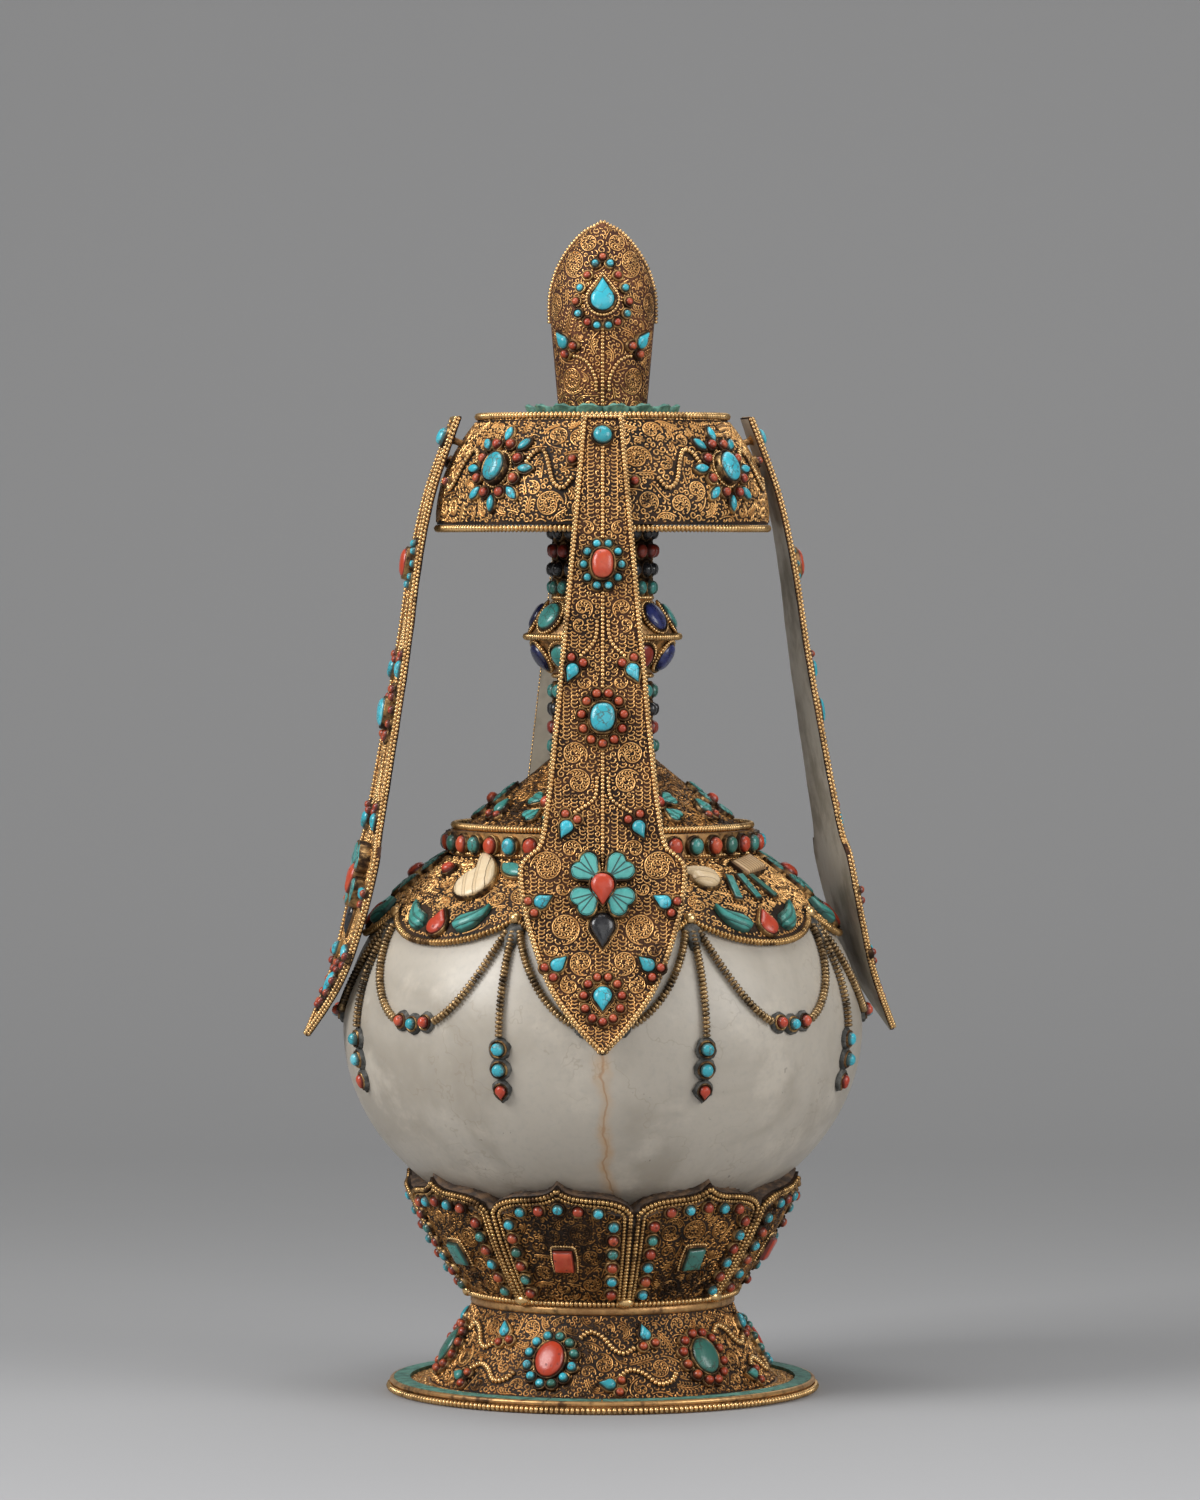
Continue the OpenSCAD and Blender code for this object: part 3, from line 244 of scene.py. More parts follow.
def coral_finish(name, red, pale, dark):
    """Red coral, clouded and pitted, with a dark edge at its strip that is partly painted shade where the
    strip meets the stone and partly dark cement.
    """
    f = Finish(name)
    tone = f.point_value("tone")
    rim = f.point_value("rim")
    clouds = f.noise(3.0, 4, 0.6, 0.4)
    pits = (1 - f.shape(f.cells(2.1), 0.12, 0.36)) * f.shape(f.noise(4.4, 2), 0.44, 0.58)
    body = f.blend(red, pale, f.shape(clouds * 0.8 + tone * 0.5, 0.5, 1.05) * 0.75)
    # The rim mask darkens the edge at the strip: painted shade where the strip meets the stone, with some
    # dark cement.
    colour = f.blend(f.blend(body, dark, pits * 0.75), dark, f.shape(rim, 0.84, 0.98) * 0.85)
    return f.surface(colour, 0.3 + 0.3 * pits + 0.1 * clouds, 0.0, f.noise(1.3, 3) - 0.9 * pits, 0.06,
                     Coat_Weight=0.2, Coat_Roughness=0.15)


def dark_stone_finish(name, deep, fleck, bright):
    """Dark polished stone with small flecks."""
    f = Finish(name)
    clouds = f.noise(2.4, 4)
    spark = f.shape(f.noise(0.9, 2), 0.66, 0.74)
    colour = f.blend(f.blend(deep, bright, f.shape(clouds + f.point_value("tone") * 0.3, 0.5, 0.95)), fleck,
                     spark * 0.5)
    return f.surface(colour, 0.2 + 0.15 * clouds, 0.0, clouds, 0.03, Coat_Weight=0.3, Coat_Roughness=0.1)


def comb_finish(name, pale, warm, teeth):
    """Yellowed bone with teeth cut along it."""
    f = Finish(name)
    grain = f.noise(2.2, 4, where=f.stretched(1.0, 1.0, 0.25))
    stain = f.shape(f.noise(7, 4), 0.5, 0.72)
    rim = f.shape(f.point_value("rim"), 0.8, 1.0)
    # The stain share is real staining; the rim share darkens the edge at the strip: painted shade where the
    # strip meets the bone, with some dark cement.
    colour = f.blend(f.blend(pale, warm, grain * 0.5), (0.3, 0.16, 0.07), stain * 0.35 + rim * 0.4)
    cut = f.shape((f.point_value("along") * (FULL / teeth)).sine(), 0.1, 0.8)
    colour = f.blend(colour, (0.22, 0.11, 0.05), cut * 0.75)
    return f.surface(colour, 0.42 + 0.1 * stain, 0.0, grain - 1.5 * cut, 0.2)


def belly_finish(name):
    """Pale translucent stone with clouds, grain, hair lines, specks and one rusty crack down the front."""
    f = Finish(name)
    x, y, z = (f.axis(label) for label in "XYZ")
    clouds = f.noise(46, 4, 0.6, 0.7)
    grain = f.noise(2.6, 4, 0.65)
    specks = f.shape(f.noise(5.5, 5, 0.7), 0.68, 0.78) * f.shape(f.noise(30, 2), 0.5, 0.66)
    wander = (f.noise(17, 3) - 0.5) * 0.012 + (f.noise(3.5, 2) - 0.5) * 0.0009
    away = abs(x - 0.0008 + wander)
    front = 1 - f.shape(y, -0.06, -0.03)
    length = f.shape(z, 0.064, 0.08) * (1 - f.shape(z, 0.118, 0.138))
    crack = (1 - f.shape(away, 0.0, 0.0007)) * front * length
    halo = (1 - f.shape(away, 0.0, 0.0045)) * front * length * f.noise(7, 3)
    low = 1 - f.shape(z, 0.062, 0.082)
    soil = low * f.shape(f.noise(4.5, 4), 0.42, 0.66) * 0.5
    colour = f.blend((0.465, 0.419, 0.350), (0.360, 0.316, 0.254), f.shape(clouds, 0.38, 0.68))
    colour = f.blend(colour, (0.60, 0.54, 0.45), f.shape(f.noise(27, 5, 0.62), 0.5, 0.68) * 0.6)
    hair = (1 - f.shape(abs(f.noise(24, 4, 0.6) - 0.5), 0.0, 0.011)) * f.shape(f.noise(33, 2), 0.46, 0.6)
    colour = f.blend(colour, (0.30, 0.245, 0.18), hair * 0.42)
    colour = f.blend(colour, (0.42, 0.40, 0.37), specks * 0.45)
    colour = f.blend(colour, (0.36, 0.33, 0.29), f.shape(grain, 0.46, 0.72) * 0.32)
    dots = f.shape(f.noise(2.2, 2), 0.70, 0.76) * f.shape(f.noise(19, 2), 0.52, 0.62)
    colour = f.blend(colour, (0.13, 0.11, 0.10), dots * (1 - f.shape(z, 0.09, 0.15)) * 0.7)
    colour = f.blend(colour, (0.50, 0.28, 0.11), halo * 0.95)
    colour = f.blend(colour, (0.36, 0.18, 0.065), crack * 0.6)
    colour = f.blend(colour, (0.16, 0.10, 0.06), soil)
    return f.surface(colour, 0.36 + 0.14 * grain + 0.1 * clouds, 0.0, grain * 0.5 - crack, 0.12,
                     Subsurface_Weight=0.16, Subsurface_Radius=(1.0, 0.85, 0.65), Subsurface_Scale=0.006,
                     Coat_Weight=0.32, Coat_Roughness=0.36)


def verdigris_finish(name):
    """Green inlay, streaked and soiled, worn to the metal in places."""
    f = Finish(name)
    streaks = f.noise(3.0, 4, 0.65)
    patches = f.noise(9, 4)
    wear = f.shape(f.noise(1.4, 3) * 0.5 + patches * 0.5, 0.56, 0.68)
    colour = f.blend((0.035, 0.12, 0.095), (0.12, 0.31, 0.245), f.shape(streaks, 0.34, 0.66))
    colour = f.blend(colour, (0.035, 0.05, 0.035), f.shape(patches, 0.56, 0.72) * 0.7)
    colour = f.blend(colour, (0.34, 0.21, 0.09), wear * 0.45)
    return f.surface(colour, 0.5 + 0.25 * streaks, 0.0, streaks + 0.5 * patches, 0.22)


def lac_finish(name, low, high):
    """Lumpy cement."""
    f = Finish(name)
    lumps = f.noise(3.2, 4, 0.6)
    colour = f.blend(low, high, f.shape(lumps, 0.4, 0.7))
    return f.surface(colour, 0.55 + 0.3 * lumps, 0.0, lumps, 0.5)


def silver_finish(name):
    """Plain back of a lappet: grey metal sheet, beaten and stained."""
    f = Finish(name)
    dents = f.noise(9, 3)
    stain = f.shape(f.noise(24, 5, 0.65), 0.42, 0.66)
    scratches = f.noise(2.2, 3, where=f.stretched(1.0, 1.0, 0.08))
    colour = f.blend((0.57, 0.51, 0.41), (0.36, 0.315, 0.24), stain)
    colour = f.blend(colour, (0.56, 0.51, 0.43), f.shape(scratches, 0.6, 0.75) * 0.4)
    return f.surface(colour, 0.42 + 0.2 * stain, 0.35, dents + 0.2 * scratches, 0.5)


def wood_finish(name):
    """Plain turned wood."""
    f = Finish(name)
    rings = f.noise(2.4, 4, where=f.stretched(1.0, 1.0, 0.12))
    colour = f.blend((0.16, 0.08, 0.035), (0.34, 0.19, 0.09), f.shape(rings, 0.36, 0.66))
    return f.surface(colour, 0.5 + 0.2 * rings, 0.0, rings, 0.15)


GOLD = gilt_finish("gilt_wire", (0.83, 0.475, 0.178), (0.57, 0.293, 0.096), (0.14, 0.064, 0.025),
                   share=0.46, soil=0.33, metal=0.8, gloss=0.06)
# Darker copy of the gilt wire for the cup and the cone: painted shade of these parts, the cup facing down
# under the stone.
SHADED_GOLD = gilt_finish("cup_wire", (0.50, 0.245, 0.072), (0.27, 0.125, 0.034), (0.04, 0.02, 0.009),
                    share=0.5, soil=0.4, metal=0.8, gloss=0.04)
# Darker copy of the gilt wire for the foot: painted shade of the low foot.
DARK_GOLD = gilt_finish("sooty_wire", (0.72, 0.38, 0.13), (0.42, 0.205, 0.065), (0.07, 0.036, 0.016),
                        share=0.5, soil=0.38, metal=0.8, gloss=0.06)
BEAD = gilt_finish("gilt_beads", (0.80, 0.52, 0.23), (0.56, 0.33, 0.13), (0.16, 0.085, 0.036),
                   share=0.46, soil=0.34, metal=0.85, gloss=0.1)
# Darker copy of the gilt beads for the cup's petals and the mantle's rope: painted shade.
DARK_BEAD = gilt_finish("sooty_beads", (0.62, 0.385, 0.15), (0.38, 0.21, 0.078), (0.09, 0.046, 0.02),
                        share=0.48, soil=0.38, metal=0.85, gloss=0.1)
BRONZE = gilt_finish("bronze_beads", (0.46, 0.31, 0.15), (0.26, 0.165, 0.08), (0.06, 0.042, 0.026),
                     share=0.48, soil=0.4, metal=0.85, gloss=0.05)
BEZEL = gilt_finish("bezel_strip", (0.46, 0.28, 0.105), (0.19, 0.10, 0.042), (0.035, 0.018, 0.009),
                    share=0.52, soil=0.44, metal=0.8)
SHEET = gilt_finish("copper_sheet", (0.62, 0.36, 0.14), (0.38, 0.20, 0.08), (0.10, 0.05, 0.022),
                    share=0.5, soil=0.36, metal=0.7)
# The filigree and lappet grounds are set near black: partly the sheet's own dark brown, partly painted shade
# of the deep gaps between the wires.
GROUND = ground_finish("filigree_ground", (0.012, 0.007, 0.004), (0.045, 0.022, 0.011), (0.16, 0.08, 0.035))
WARM_GROUND = ground_finish("lappet_ground", (0.02, 0.008, 0.004), (0.075, 0.028, 0.011), (0.24, 0.10, 0.035))
COPPER_GROUND = ground_finish("finial_ground", (0.05, 0.017, 0.009), (0.15, 0.052, 0.022),
                              (0.30, 0.12, 0.045))
SKY = turquoise_finish("turquoise_sky", (0.04, 0.45, 0.56), (0.03, 0.32, 0.38), (0.36, 0.70, 0.74),
                       (0.05, 0.06, 0.045))
LEAF = turquoise_finish("turquoise_green", (0.05, 0.26, 0.23), (0.035, 0.15, 0.115), (0.13, 0.42, 0.37),
                        (0.03, 0.035, 0.022))
CORAL = coral_finish("coral", (0.46, 0.045, 0.016), (0.60, 0.115, 0.045), (0.09, 0.014, 0.009))
SMALL_CORAL = coral_finish("small_coral", (0.36, 0.042, 0.013), (0.52, 0.115, 0.036), (0.05, 0.01, 0.006))
# Darker coral for the neck: partly soot, partly painted shade of the hat above it.
RED = coral_finish("old_coral", (0.24, 0.026, 0.014), (0.34, 0.06, 0.03), (0.05, 0.01, 0.008))
ONYX = dark_stone_finish("onyx", (0.012, 0.012, 0.014), (0.05, 0.05, 0.05), (0.03, 0.03, 0.033))
LAPIS = dark_stone_finish("lapis", (0.012, 0.014, 0.05), (0.25, 0.18, 0.07), (0.03, 0.04, 0.16))
BONE = curled_finish("shell", (0.80, 0.64, 0.42), (0.72, 0.53, 0.31), (0.62, 0.44, 0.24), 4.2)
CURLED = curled_finish("carved_curl", (0.07, 0.37, 0.33), (0.04, 0.21, 0.17), (0.014, 0.045, 0.037), 2.3)
COMB = comb_finish("bone_comb", (0.66, 0.46, 0.25), (0.55, 0.34, 0.16), 1.5)
PETAL = carved_finish("carved_petal", (0.09, 0.40, 0.36), (0.05, 0.27, 0.25), (0.012, 0.03, 0.028))
STONE = belly_finish("white_stone")
VERDIGRIS = verdigris_finish("verdigris_inlay")
LAC = lac_finish("brown_lac", (0.035, 0.02, 0.012), (0.13, 0.072, 0.035))
SOOT = lac_finish("grey_lac", (0.03, 0.03, 0.026), (0.14, 0.135, 0.12))
SILVER = silver_finish("grey_sheet")
WOOD = wood_finish("plug_wood")


# Meshes


def mesh_of(name, points, quads, tris, values=None, corner=180):
    """Plain mesh from arrays in millimetres; corner is the angle from which an edge stays sharp."""
    loops = np.concatenate([quads.ravel(), tris.ravel()]).astype(np.int32)
    sizes = np.concatenate([np.full(len(quads), 4), np.full(len(tris), 3)])
    starts = np.concatenate([[0], np.cumsum(sizes)[:-1]]).astype(np.int32)
    mesh = bpy.data.meshes.new(name)
    mesh.vertices.add(len(points))
    mesh.vertices.foreach_set("co", (np.asarray(points) * MM).astype(np.float32).ravel())
    mesh.loops.add(len(loops))
    mesh.loops.foreach_set("vertex_index", loops)
    mesh.polygons.add(len(sizes))
    mesh.polygons.foreach_set("loop_start", starts)
    mesh.update(calc_edges=True)
    mesh.shade_smooth()
    if corner < 180:
        mesh.set_sharp_from_angle(angle=math.radians(corner))
    for key, value in (values or {}).items():
        layer = mesh.attributes.new(key, "FLOAT", "POINT")
        layer.data.foreach_set("value", np.asarray(value, np.float32))
    return mesh


def set_down(mesh, name, body, finish, stands_for=()):
    """Makes a mesh one piece of the vase."""
    mesh.materials.clear()
    mesh.materials.append(finish)
    made = bpy.data.objects.new(name, mesh)
    bpy.context.scene.collection.objects.link(made)
    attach(made, body)
    if stands_for:
        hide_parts(*stands_for)


class Heap:
    """Gathers corners, faces and point values for one piece."""

    def __init__(self):
        self.points, self.quads, self.tris, self.values, self.count = [], [], [], {}, 0

    def add(self, points, quads=(), tris=(), **values):
        points = np.asarray(points, float).reshape(-1, 3)
        self.points.append(points)
        self.quads.append(np.asarray(quads, int).reshape(-1, 4) + self.count)
        self.tris.append(np.asarray(tris, int).reshape(-1, 3) + self.count)
        for key, value in values.items():
            self.values.setdefault(key, []).append(np.broadcast_to(value, len(points)))
        self.count += len(points)

    def make(self, name, body, finish, stands_for=(), corner=180):
        values = {k: np.concatenate(v) for k, v in self.values.items()}
        points, quads, tris = (np.concatenate(part) for part in (self.points, self.quads, self.tris))
        mesh = mesh_of(name, points, quads, tris, values, corner)
        set_down(mesh, name, body, finish, stands_for)


def ring_faces(rings, n, closed=True):
    """Quads between rings of n points; with closed False each ring is an open row."""
    last = n if closed else n - 1
    k = np.arange(last)
    rows = [np.stack([i * n + k, i * n + (k + 1) % n, (i + 1) * n + (k + 1) % n, (i + 1) * n + k], 1)
            for i in range(rings - 1)]
    return np.concatenate(rows)


def fan_faces(start, n, tip):
    """Triangles from a ring of n points, which begins at start, to one tip."""
    k = np.arange(n)
    return np.stack([start + k, start + (k + 1) % n, np.full(n, tip)], 1)


def domed_faces(rings, n):
    """Quads between rings of n points, and triangles from the last ring to a tip that follows it."""
    return ring_faces(rings, n), fan_faces((rings - 1) * n, n, rings * n)


def turns(n):
    """Angles of n even steps of a full turn."""
    return np.arange(n) / n * FULL


def circle(r, z, n):
    """Level ring of n points."""
    a = turns(n)
    return np.stack([r * np.cos(a), r * np.sin(a), np.full(n, z)], 1)


def lathe(profile, n=96):
    """Points and faces of a turned piece from an (r, z) line that runs upwards on the outside."""
    return np.concatenate([circle(r, z, n) for r, z in profile]), ring_faces(len(profile), n)


def smooth_line(points, n=10):
    """Even curve through a few flat or solid points."""
    p = np.asarray(points, float)
    p = np.vstack([2 * p[0] - p[1], p, 2 * p[-1] - p[-2]])
    t = np.linspace(0, 1, n, endpoint=False)[:, None]
    parts = [0.5 * (2 * p[i] + (p[i + 1] - p[i - 1]) * t
                    + (2 * p[i - 1] - 5 * p[i] + 4 * p[i + 1] - p[i + 2]) * t ** 2
                    + (3 * p[i] - p[i - 1] - 3 * p[i + 1] + p[i + 2]) * t ** 3) for i in range(1, len(p) - 2)]
    return np.vstack(parts + [p[-2:-1]])


def line_lengths(line):
    """Length along a line up to each of its points."""
    return np.concatenate([[0], np.cumsum(np.linalg.norm(np.diff(line, axis=0), axis=1))])


def soften(v, reach=4):
    """Running mean over reach steps either way."""
    n = 2 * reach + 1
    return np.convolve(np.pad(v, reach, "reflect", reflect_type="odd"), np.full(n, 1 / n), "valid")


# Reading the frame


def corners(node):
    """Low and high corner of a CAD node's box, in millimetres."""
    return [np.array(v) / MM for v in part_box(node)]


def read(node):
    """Merged corners, in millimetres, and triangles of a CAD node."""
    mesh = nodes[node].data
    co = np.empty(len(mesh.vertices) * 3, np.float32)
    mesh.vertices.foreach_get("co", co)
    mesh.calc_loop_triangles()
    tri = np.empty(len(mesh.loop_triangles) * 3, np.int32)
    mesh.loop_triangles.foreach_get("vertices", tri)
    points, back = np.unique(np.round(co.reshape(-1, 3).astype(float) / MM, 3), axis=0, return_inverse=True)
    tri = back.reshape(-1)[tri].reshape(-1, 3)
    good = (tri[:, 0] != tri[:, 1]) & (tri[:, 1] != tri[:, 2]) & (tri[:, 0] != tri[:, 2])
    return points, tri[good]


def islands(node):
    """Separate solids of a CAD node, each as (corners, triangles)."""
    points, tris = read(node)
    label = np.arange(len(points))
    while True:
        low = label[tris].min(1)
        fresh = label.copy()
        np.minimum.at(fresh, tris.ravel(), np.repeat(low, 3))
        fresh = fresh[fresh]
        if (fresh == label).all():
            break
        label = fresh
    owner = label[tris[:, 0]]
    order = np.argsort(owner, kind="stable")
    cuts = np.flatnonzero(np.diff(owner[order])) + 1
    found = []
    for part in np.split(order, cuts):
        used, back = np.unique(tris[part], return_inverse=True)
        found.append((points[used], back.reshape(-1, 3)))
    return found


def unit(v):
    """Vectors made one long."""
    return v / np.linalg.norm(v, axis=-1, keepdims=True)


def face_normals(points, tris):
    """Outward direction and area of each triangle."""
    corner = points[tris]
    across = np.cross(corner[:, 1] - corner[:, 0], corner[:, 2] - corner[:, 0])
    area = np.linalg.norm(across, axis=1) / 2
    return across / np.maximum(area, 1e-9)[:, None] / 2, area


class Profile:
    """Outer line of a sheet: radius and height along it, and the direction out of it."""

    def set_line(self, z, r):
        """Keeps the line, the length along it and the direction out of it."""
        self.z, self.r = z, r
        self.s = np.concatenate([[0], np.cumsum(np.hypot(np.diff(z), np.diff(r)))])
        self.length = self.s[-1]
        self.out_r, self.out_z = np.gradient(z, self.s), -np.gradient(r, self.s)

    def along(self, z):
        return np.interp(z, self.z, self.s)

    def radius(self, s):
        return np.interp(s, self.s, self.r)

    def height(self, s):
        return np.interp(s, self.s, self.z)

    def lifted(self, s, h):
        """Radius and height of a point at a place along the line and a height above it."""
        return (self.radius(s) + h * np.interp(s, self.s, self.out_r),
                self.height(s) + h * np.interp(s, self.s, self.out_z))


class Wall(Profile):
    """Outer face of a turned sheet: read from the CAD node, rolled out flat and bent back."""

    def __init__(self, node, globe=False):
        points, tris = read(node)
        normal = face_normals(points, tris)[0]
        middle = points[tris].mean(1)
        outward = (normal[:, :2] * unit(middle[:, :2])).sum(1) > 0.12
        used = points[np.unique(tris[outward])]
        z, r = used[:, 2], np.hypot(used[:, 0], used[:, 1])
        measure = r * r if globe else r
        keep = np.ones(len(z), bool)

        def fitted(at):
            value = np.polyval(fit, at)
            return np.sqrt(np.maximum(value, 0)) if globe else value

        for reach in (6.0, 1.5, 0.4, 0.15):
            fit = np.polyfit(z[keep], measure[keep], 2)
            keep = np.abs(fitted(z) - r) < reach
        level = np.linspace(z[keep].min(), z[keep].max(), 240)
        self.set_line(level, fitted(level))
        self.lean = (self.r[-1] - self.r[0]) / self.length
        self.round = abs(self.lean) < 0.06
        self.apex = self.r[0] / abs(self.lean) if not self.round else self.r.mean()

    def place(self, az, s, h):
        """Point at an azimuth, a place along the wall and a height above it."""
        r, z = self.lifted(s, h)
        return np.stack([r * np.cos(az), r * np.sin(az), z], -1)

    def flat(self, az, s):
        """Flat place of a point given by azimuth and place along the wall."""
        turn = (np.asarray(az) - FRONT + math.pi) % FULL - math.pi
        if self.round:
            return np.stack([turn * self.apex, s + 0 * turn], -1)
        sign = math.copysign(1, self.lean)
        far, turn = self.apex + sign * np.asarray(s), turn * abs(self.lean)
        return np.stack([far * np.sin(turn), sign * far * np.cos(turn)], -1)

    def unroll(self, xy):
        """Azimuth from the front and place along the wall for flat points."""
        x, y = xy[..., 0], xy[..., 1]
        if self.round:
            return x / self.apex, y
        sign = math.copysign(1, self.lean)
        return np.arctan2(x, sign * y) / abs(self.lean), sign * (np.hypot(x, y) - self.apex)

    def bend(self, xy, h):
        """Flat points bent over the wall, at heights above it."""
        turn, s = self.unroll(xy)
        return self.place(turn + FRONT, s, h)

    def spot(self, point):
        """Flat place of a point that lies near the wall."""
        point = np.asarray(point)
        return self.flat(np.arctan2(point[..., 1], point[..., 0]), self.along(point[..., 2]))


class Lappet(Profile):
    """Outer face of a lappet plate; x runs across it and y up from its tip."""

    def __init__(self, side):
        points, tris = read(f"lappet_{side}_plate")
        top = points[points[:, 2] > points[:, 2].max() - 2].mean(0)
        self.az = math.atan2(top[1], top[0])
        c, s = math.cos(self.az), math.sin(self.az)
        x, y, z = points.T
        local = np.stack([x * c + y * s, y * c - x * s, z], 1)
        normal = face_normals(local, tris)[0]
        face = np.unique(tris[normal[:, 0] > 0.5])
        order = face[np.argsort(local[face, 2])]
        z, first = np.unique(np.round(local[order, 2], 2), return_index=True)
        level = np.linspace(z[0], z[-1], 300)
        self.set_line(level, soften(np.interp(level, z, local[order, 0][first]), 6))
        levels = np.round(local[:, 2], 1)
        edge_z = np.unique(levels)
        wide = np.array([np.abs(local[levels == v, 1]).max() for v in edge_z])
        hull = wide > 0.4
        hull[0] = True
        half = np.interp(self.z, edge_z[hull], wide[hull])
        even = np.convolve(np.pad(half, 3, "edge"), np.full(7, 1 / 7), "valid")
        self.half = np.minimum(even, half + 0.4)

    def width(self, s):
        return np.interp(s, self.s, self.half)

    def bend(self, xy, h):
        """Flat points bent over the lappet, at heights above it."""
        x, s = xy[..., 0], xy[..., 1]
        r, z = self.lifted(s, h)
        c, t = math.cos(self.az), math.sin(self.az)
        return np.stack([r * c - x * t, r * t + x * c, z], -1)

    def spot(self, point):
        """Flat place of a point that lies near the lappet."""
        point = np.asarray(point)
        c, t = math.cos(self.az), math.sin(self.az)
        return np.stack([point[..., 1] * c - point[..., 0] * t, self.along(point[..., 2])], -1)


# Stones


class Gem:
    """One stone of the CAD model: seat, outline and height."""

    def __init__(self, points, tris):
        normal, area = face_normals(points, tris)
        middle = points.mean(0)
        best, found = -1, None
        for i in np.argsort(-area)[:16]:
            share = area[np.abs(normal @ normal[i]) > 0.999].sum()
            if share > best + 1e-6:
                best, found = share, normal[i]
        outward = np.array([middle[0], middle[1], 0.0])
        self.face(found if found @ outward > 0 else -found)
        under = tris[normal @ self.out < -0.99]
        edges = np.concatenate([under[:, [0, 1]], under[:, [1, 2]], under[:, [2, 0]]])
        held = set(map(tuple, edges))
        onward = {a: b for a, b in held if (b, a) not in held}
        walk = [next(iter(sorted(onward)))]
        while onward[walk[-1]] != walk[0]:
            walk.append(onward[walk[-1]])
        loop = points[walk[::-1]]
        self.seat = (loop.min(0) + loop.max(0)) / 2
        flat = np.stack([(loop - self.seat) @ self.side, (loop - self.seat) @ self.up], 1)
        ahead, behind = np.roll(flat, -1, 0) - flat, flat - np.roll(flat, 1, 0)
        bent = np.abs(ahead[:, 0] * behind[:, 1] - ahead[:, 1] * behind[:, 0]) > 1e-4
        flat = flat[bent]
        x, y = flat[:, 0], flat[:, 1]
        cross = x * np.roll(y, -1) - y * np.roll(x, -1)
        centre = np.array([((v + np.roll(v, -1)) * cross).sum() for v in (x, y)]) / (3 * cross.sum())
        self.seat = self.seat + centre[0] * self.side + centre[1] * self.up
        self.outline = flat - centre
        self.area = abs(cross.sum()) / 2
        self.high = ((points - self.seat) @ self.out).max()
        reach = np.linalg.norm(self.outline, axis=1)
        self.size = 2 * reach.max()
        self.square = len(self.outline) == 4
        turned = np.roll(self.outline, -1, 0) - self.outline
        next_turned = np.roll(turned, -1, 0)
        inward = turned[:, 0] * next_turned[:, 1] - turned[:, 1] * next_turned[:, 0]
        bowed = np.roll(inward < -1e-3, 1)
        tip = self.outline[np.argmax(reach)]
        self.lobed = (bowed & (self.outline @ tip < 0)).any()
        lead = turned[np.argmax(np.linalg.norm(turned, axis=1))] if self.square else -tip
        self.lead = lead / np.linalg.norm(lead)
        self.az, self.z = math.atan2(self.seat[1], self.seat[0]), self.seat[2]
        self.rise = 0.0

    def face(self, out):
        """Sets the outward direction, and the two that lie across it."""
        self.out = out
        self.up = unit(np.array([0, 0, 1.0]) - out[2] * out)
        self.side = np.cross(self.up, out)

    def loop(self, n):
        """Outline as n even steps, starting at its furthest corner."""
        if self.square:
            k = n // 4
            t = np.arange(k)[:, None] / k
            ends = np.roll(self.outline, -1, 0)
            return np.concatenate([a + (b - a) * t for a, b in zip(self.outline, ends)])
        line = np.roll(self.outline, -int(np.argmax(np.linalg.norm(self.outline, axis=1))), 0)
        line = np.vstack([line, line[:1]])
        d = line_lengths(line)
        t = np.linspace(0, d[-1], n, endpoint=False)
        return np.stack([np.interp(t, d, line[:, 0]), np.interp(t, d, line[:, 1])], 1)

    def place(self, xy, h):
        """Points at flat places round the seat and heights above it."""
        xy, h = np.asarray(xy), np.asarray(h)
        return self.seat + xy[..., :1] * self.side + xy[..., 1:2] * self.up + h[..., None] * self.out

    def move(self, seat, out=None, grow=1.0):
        """Gives the stone another seat, outward direction and size."""
        self.seat, self.outline = np.asarray(seat, float), self.outline * grow
        self.size = self.size * np.mean(grow)
        self.az, self.z = math.atan2(self.seat[1], self.seat[0]), self.seat[2]
        if out is not None:
            self.face(unit(out))

    def grow(self, by):
        """Makes the stone larger in its seat."""
        self.move(self.seat, None, by)

    def grown(self, xy, by):
        """Outline moved outwards by a length."""
        reach = np.linalg.norm(xy, axis=1, keepdims=True)
        return xy * (reach + by) / reach


DOMES = {
    "round": ((1.0, -0.05), (1.0, 0.36), (0.95, 0.56), (0.82, 0.76), (0.6, 0.91), (0.3, 0.985)),
    "square": ((1.0, -0.05), (1.0, 0.62), (0.95, 0.8), (0.82, 0.92), (0.5, 0.98)),
    "plate": ((1.0, -0.05), (1.0, 0.3), (0.96, 0.46), (0.84, 0.56), (0.6, 0.62), (0.3, 0.56)),
}


def gem_points(gem):
    """Points round a stone: fewer on small ones."""
    return 24 if gem.size > 4.6 else 12


def set_stones(name, stones, body, finish, stands_for, stretch):
    """Domed stones in the seats that the CAD stones give."""
    heap = Heap()
    for gem in stones:
        k = gem_points(gem)
        form = DOMES["square" if gem.square else "plate" if gem.lobed else "round"]
        ring = gem.loop(k) * np.array(stretch) * (1 + rng.normal(0, 0.012, 2))
        wave = np.sin(2 * turns(k) + rng.uniform(0, FULL))
        ring = ring * (1 + 0.018 * wave + rng.normal(0, 0.006, k))[:, None]
        high = gem.high * rng.uniform(0.86, 1.06)
        lean = rng.normal(0, 0.035, 2)
        rows, rims, flats = [], [], []
        for share, level in form:
            flat = ring * share
            lump = rng.normal(0, 0.012 * high, k) * (level > 0.4)
            rows.append(gem.place(flat, level * high + flat @ lean + lump + gem.rise))
            rims.append(np.full(k, 1 - (1 - share) * gem.size / 6))
            flats.append(flat)
        crown = form[-1][1] * high * (0.94 if gem.lobed else 1.015) + gem.rise
        points = np.concatenate(rows + [gem.place(np.zeros((1, 2)), np.array([crown]))])
        flat = np.concatenate(flats + [[[0, 0]]])
        rim = np.concatenate(rims + [[0.0]])
        heap.add(points, *domed_faces(len(form), k), tone=rng.uniform(0, 1), rim=rim, along=flat @ gem.lead,
                 across=flat @ np.array([-gem.lead[1], gem.lead[0]]))
    heap.make(name, body, finish, stands_for, corner=60)


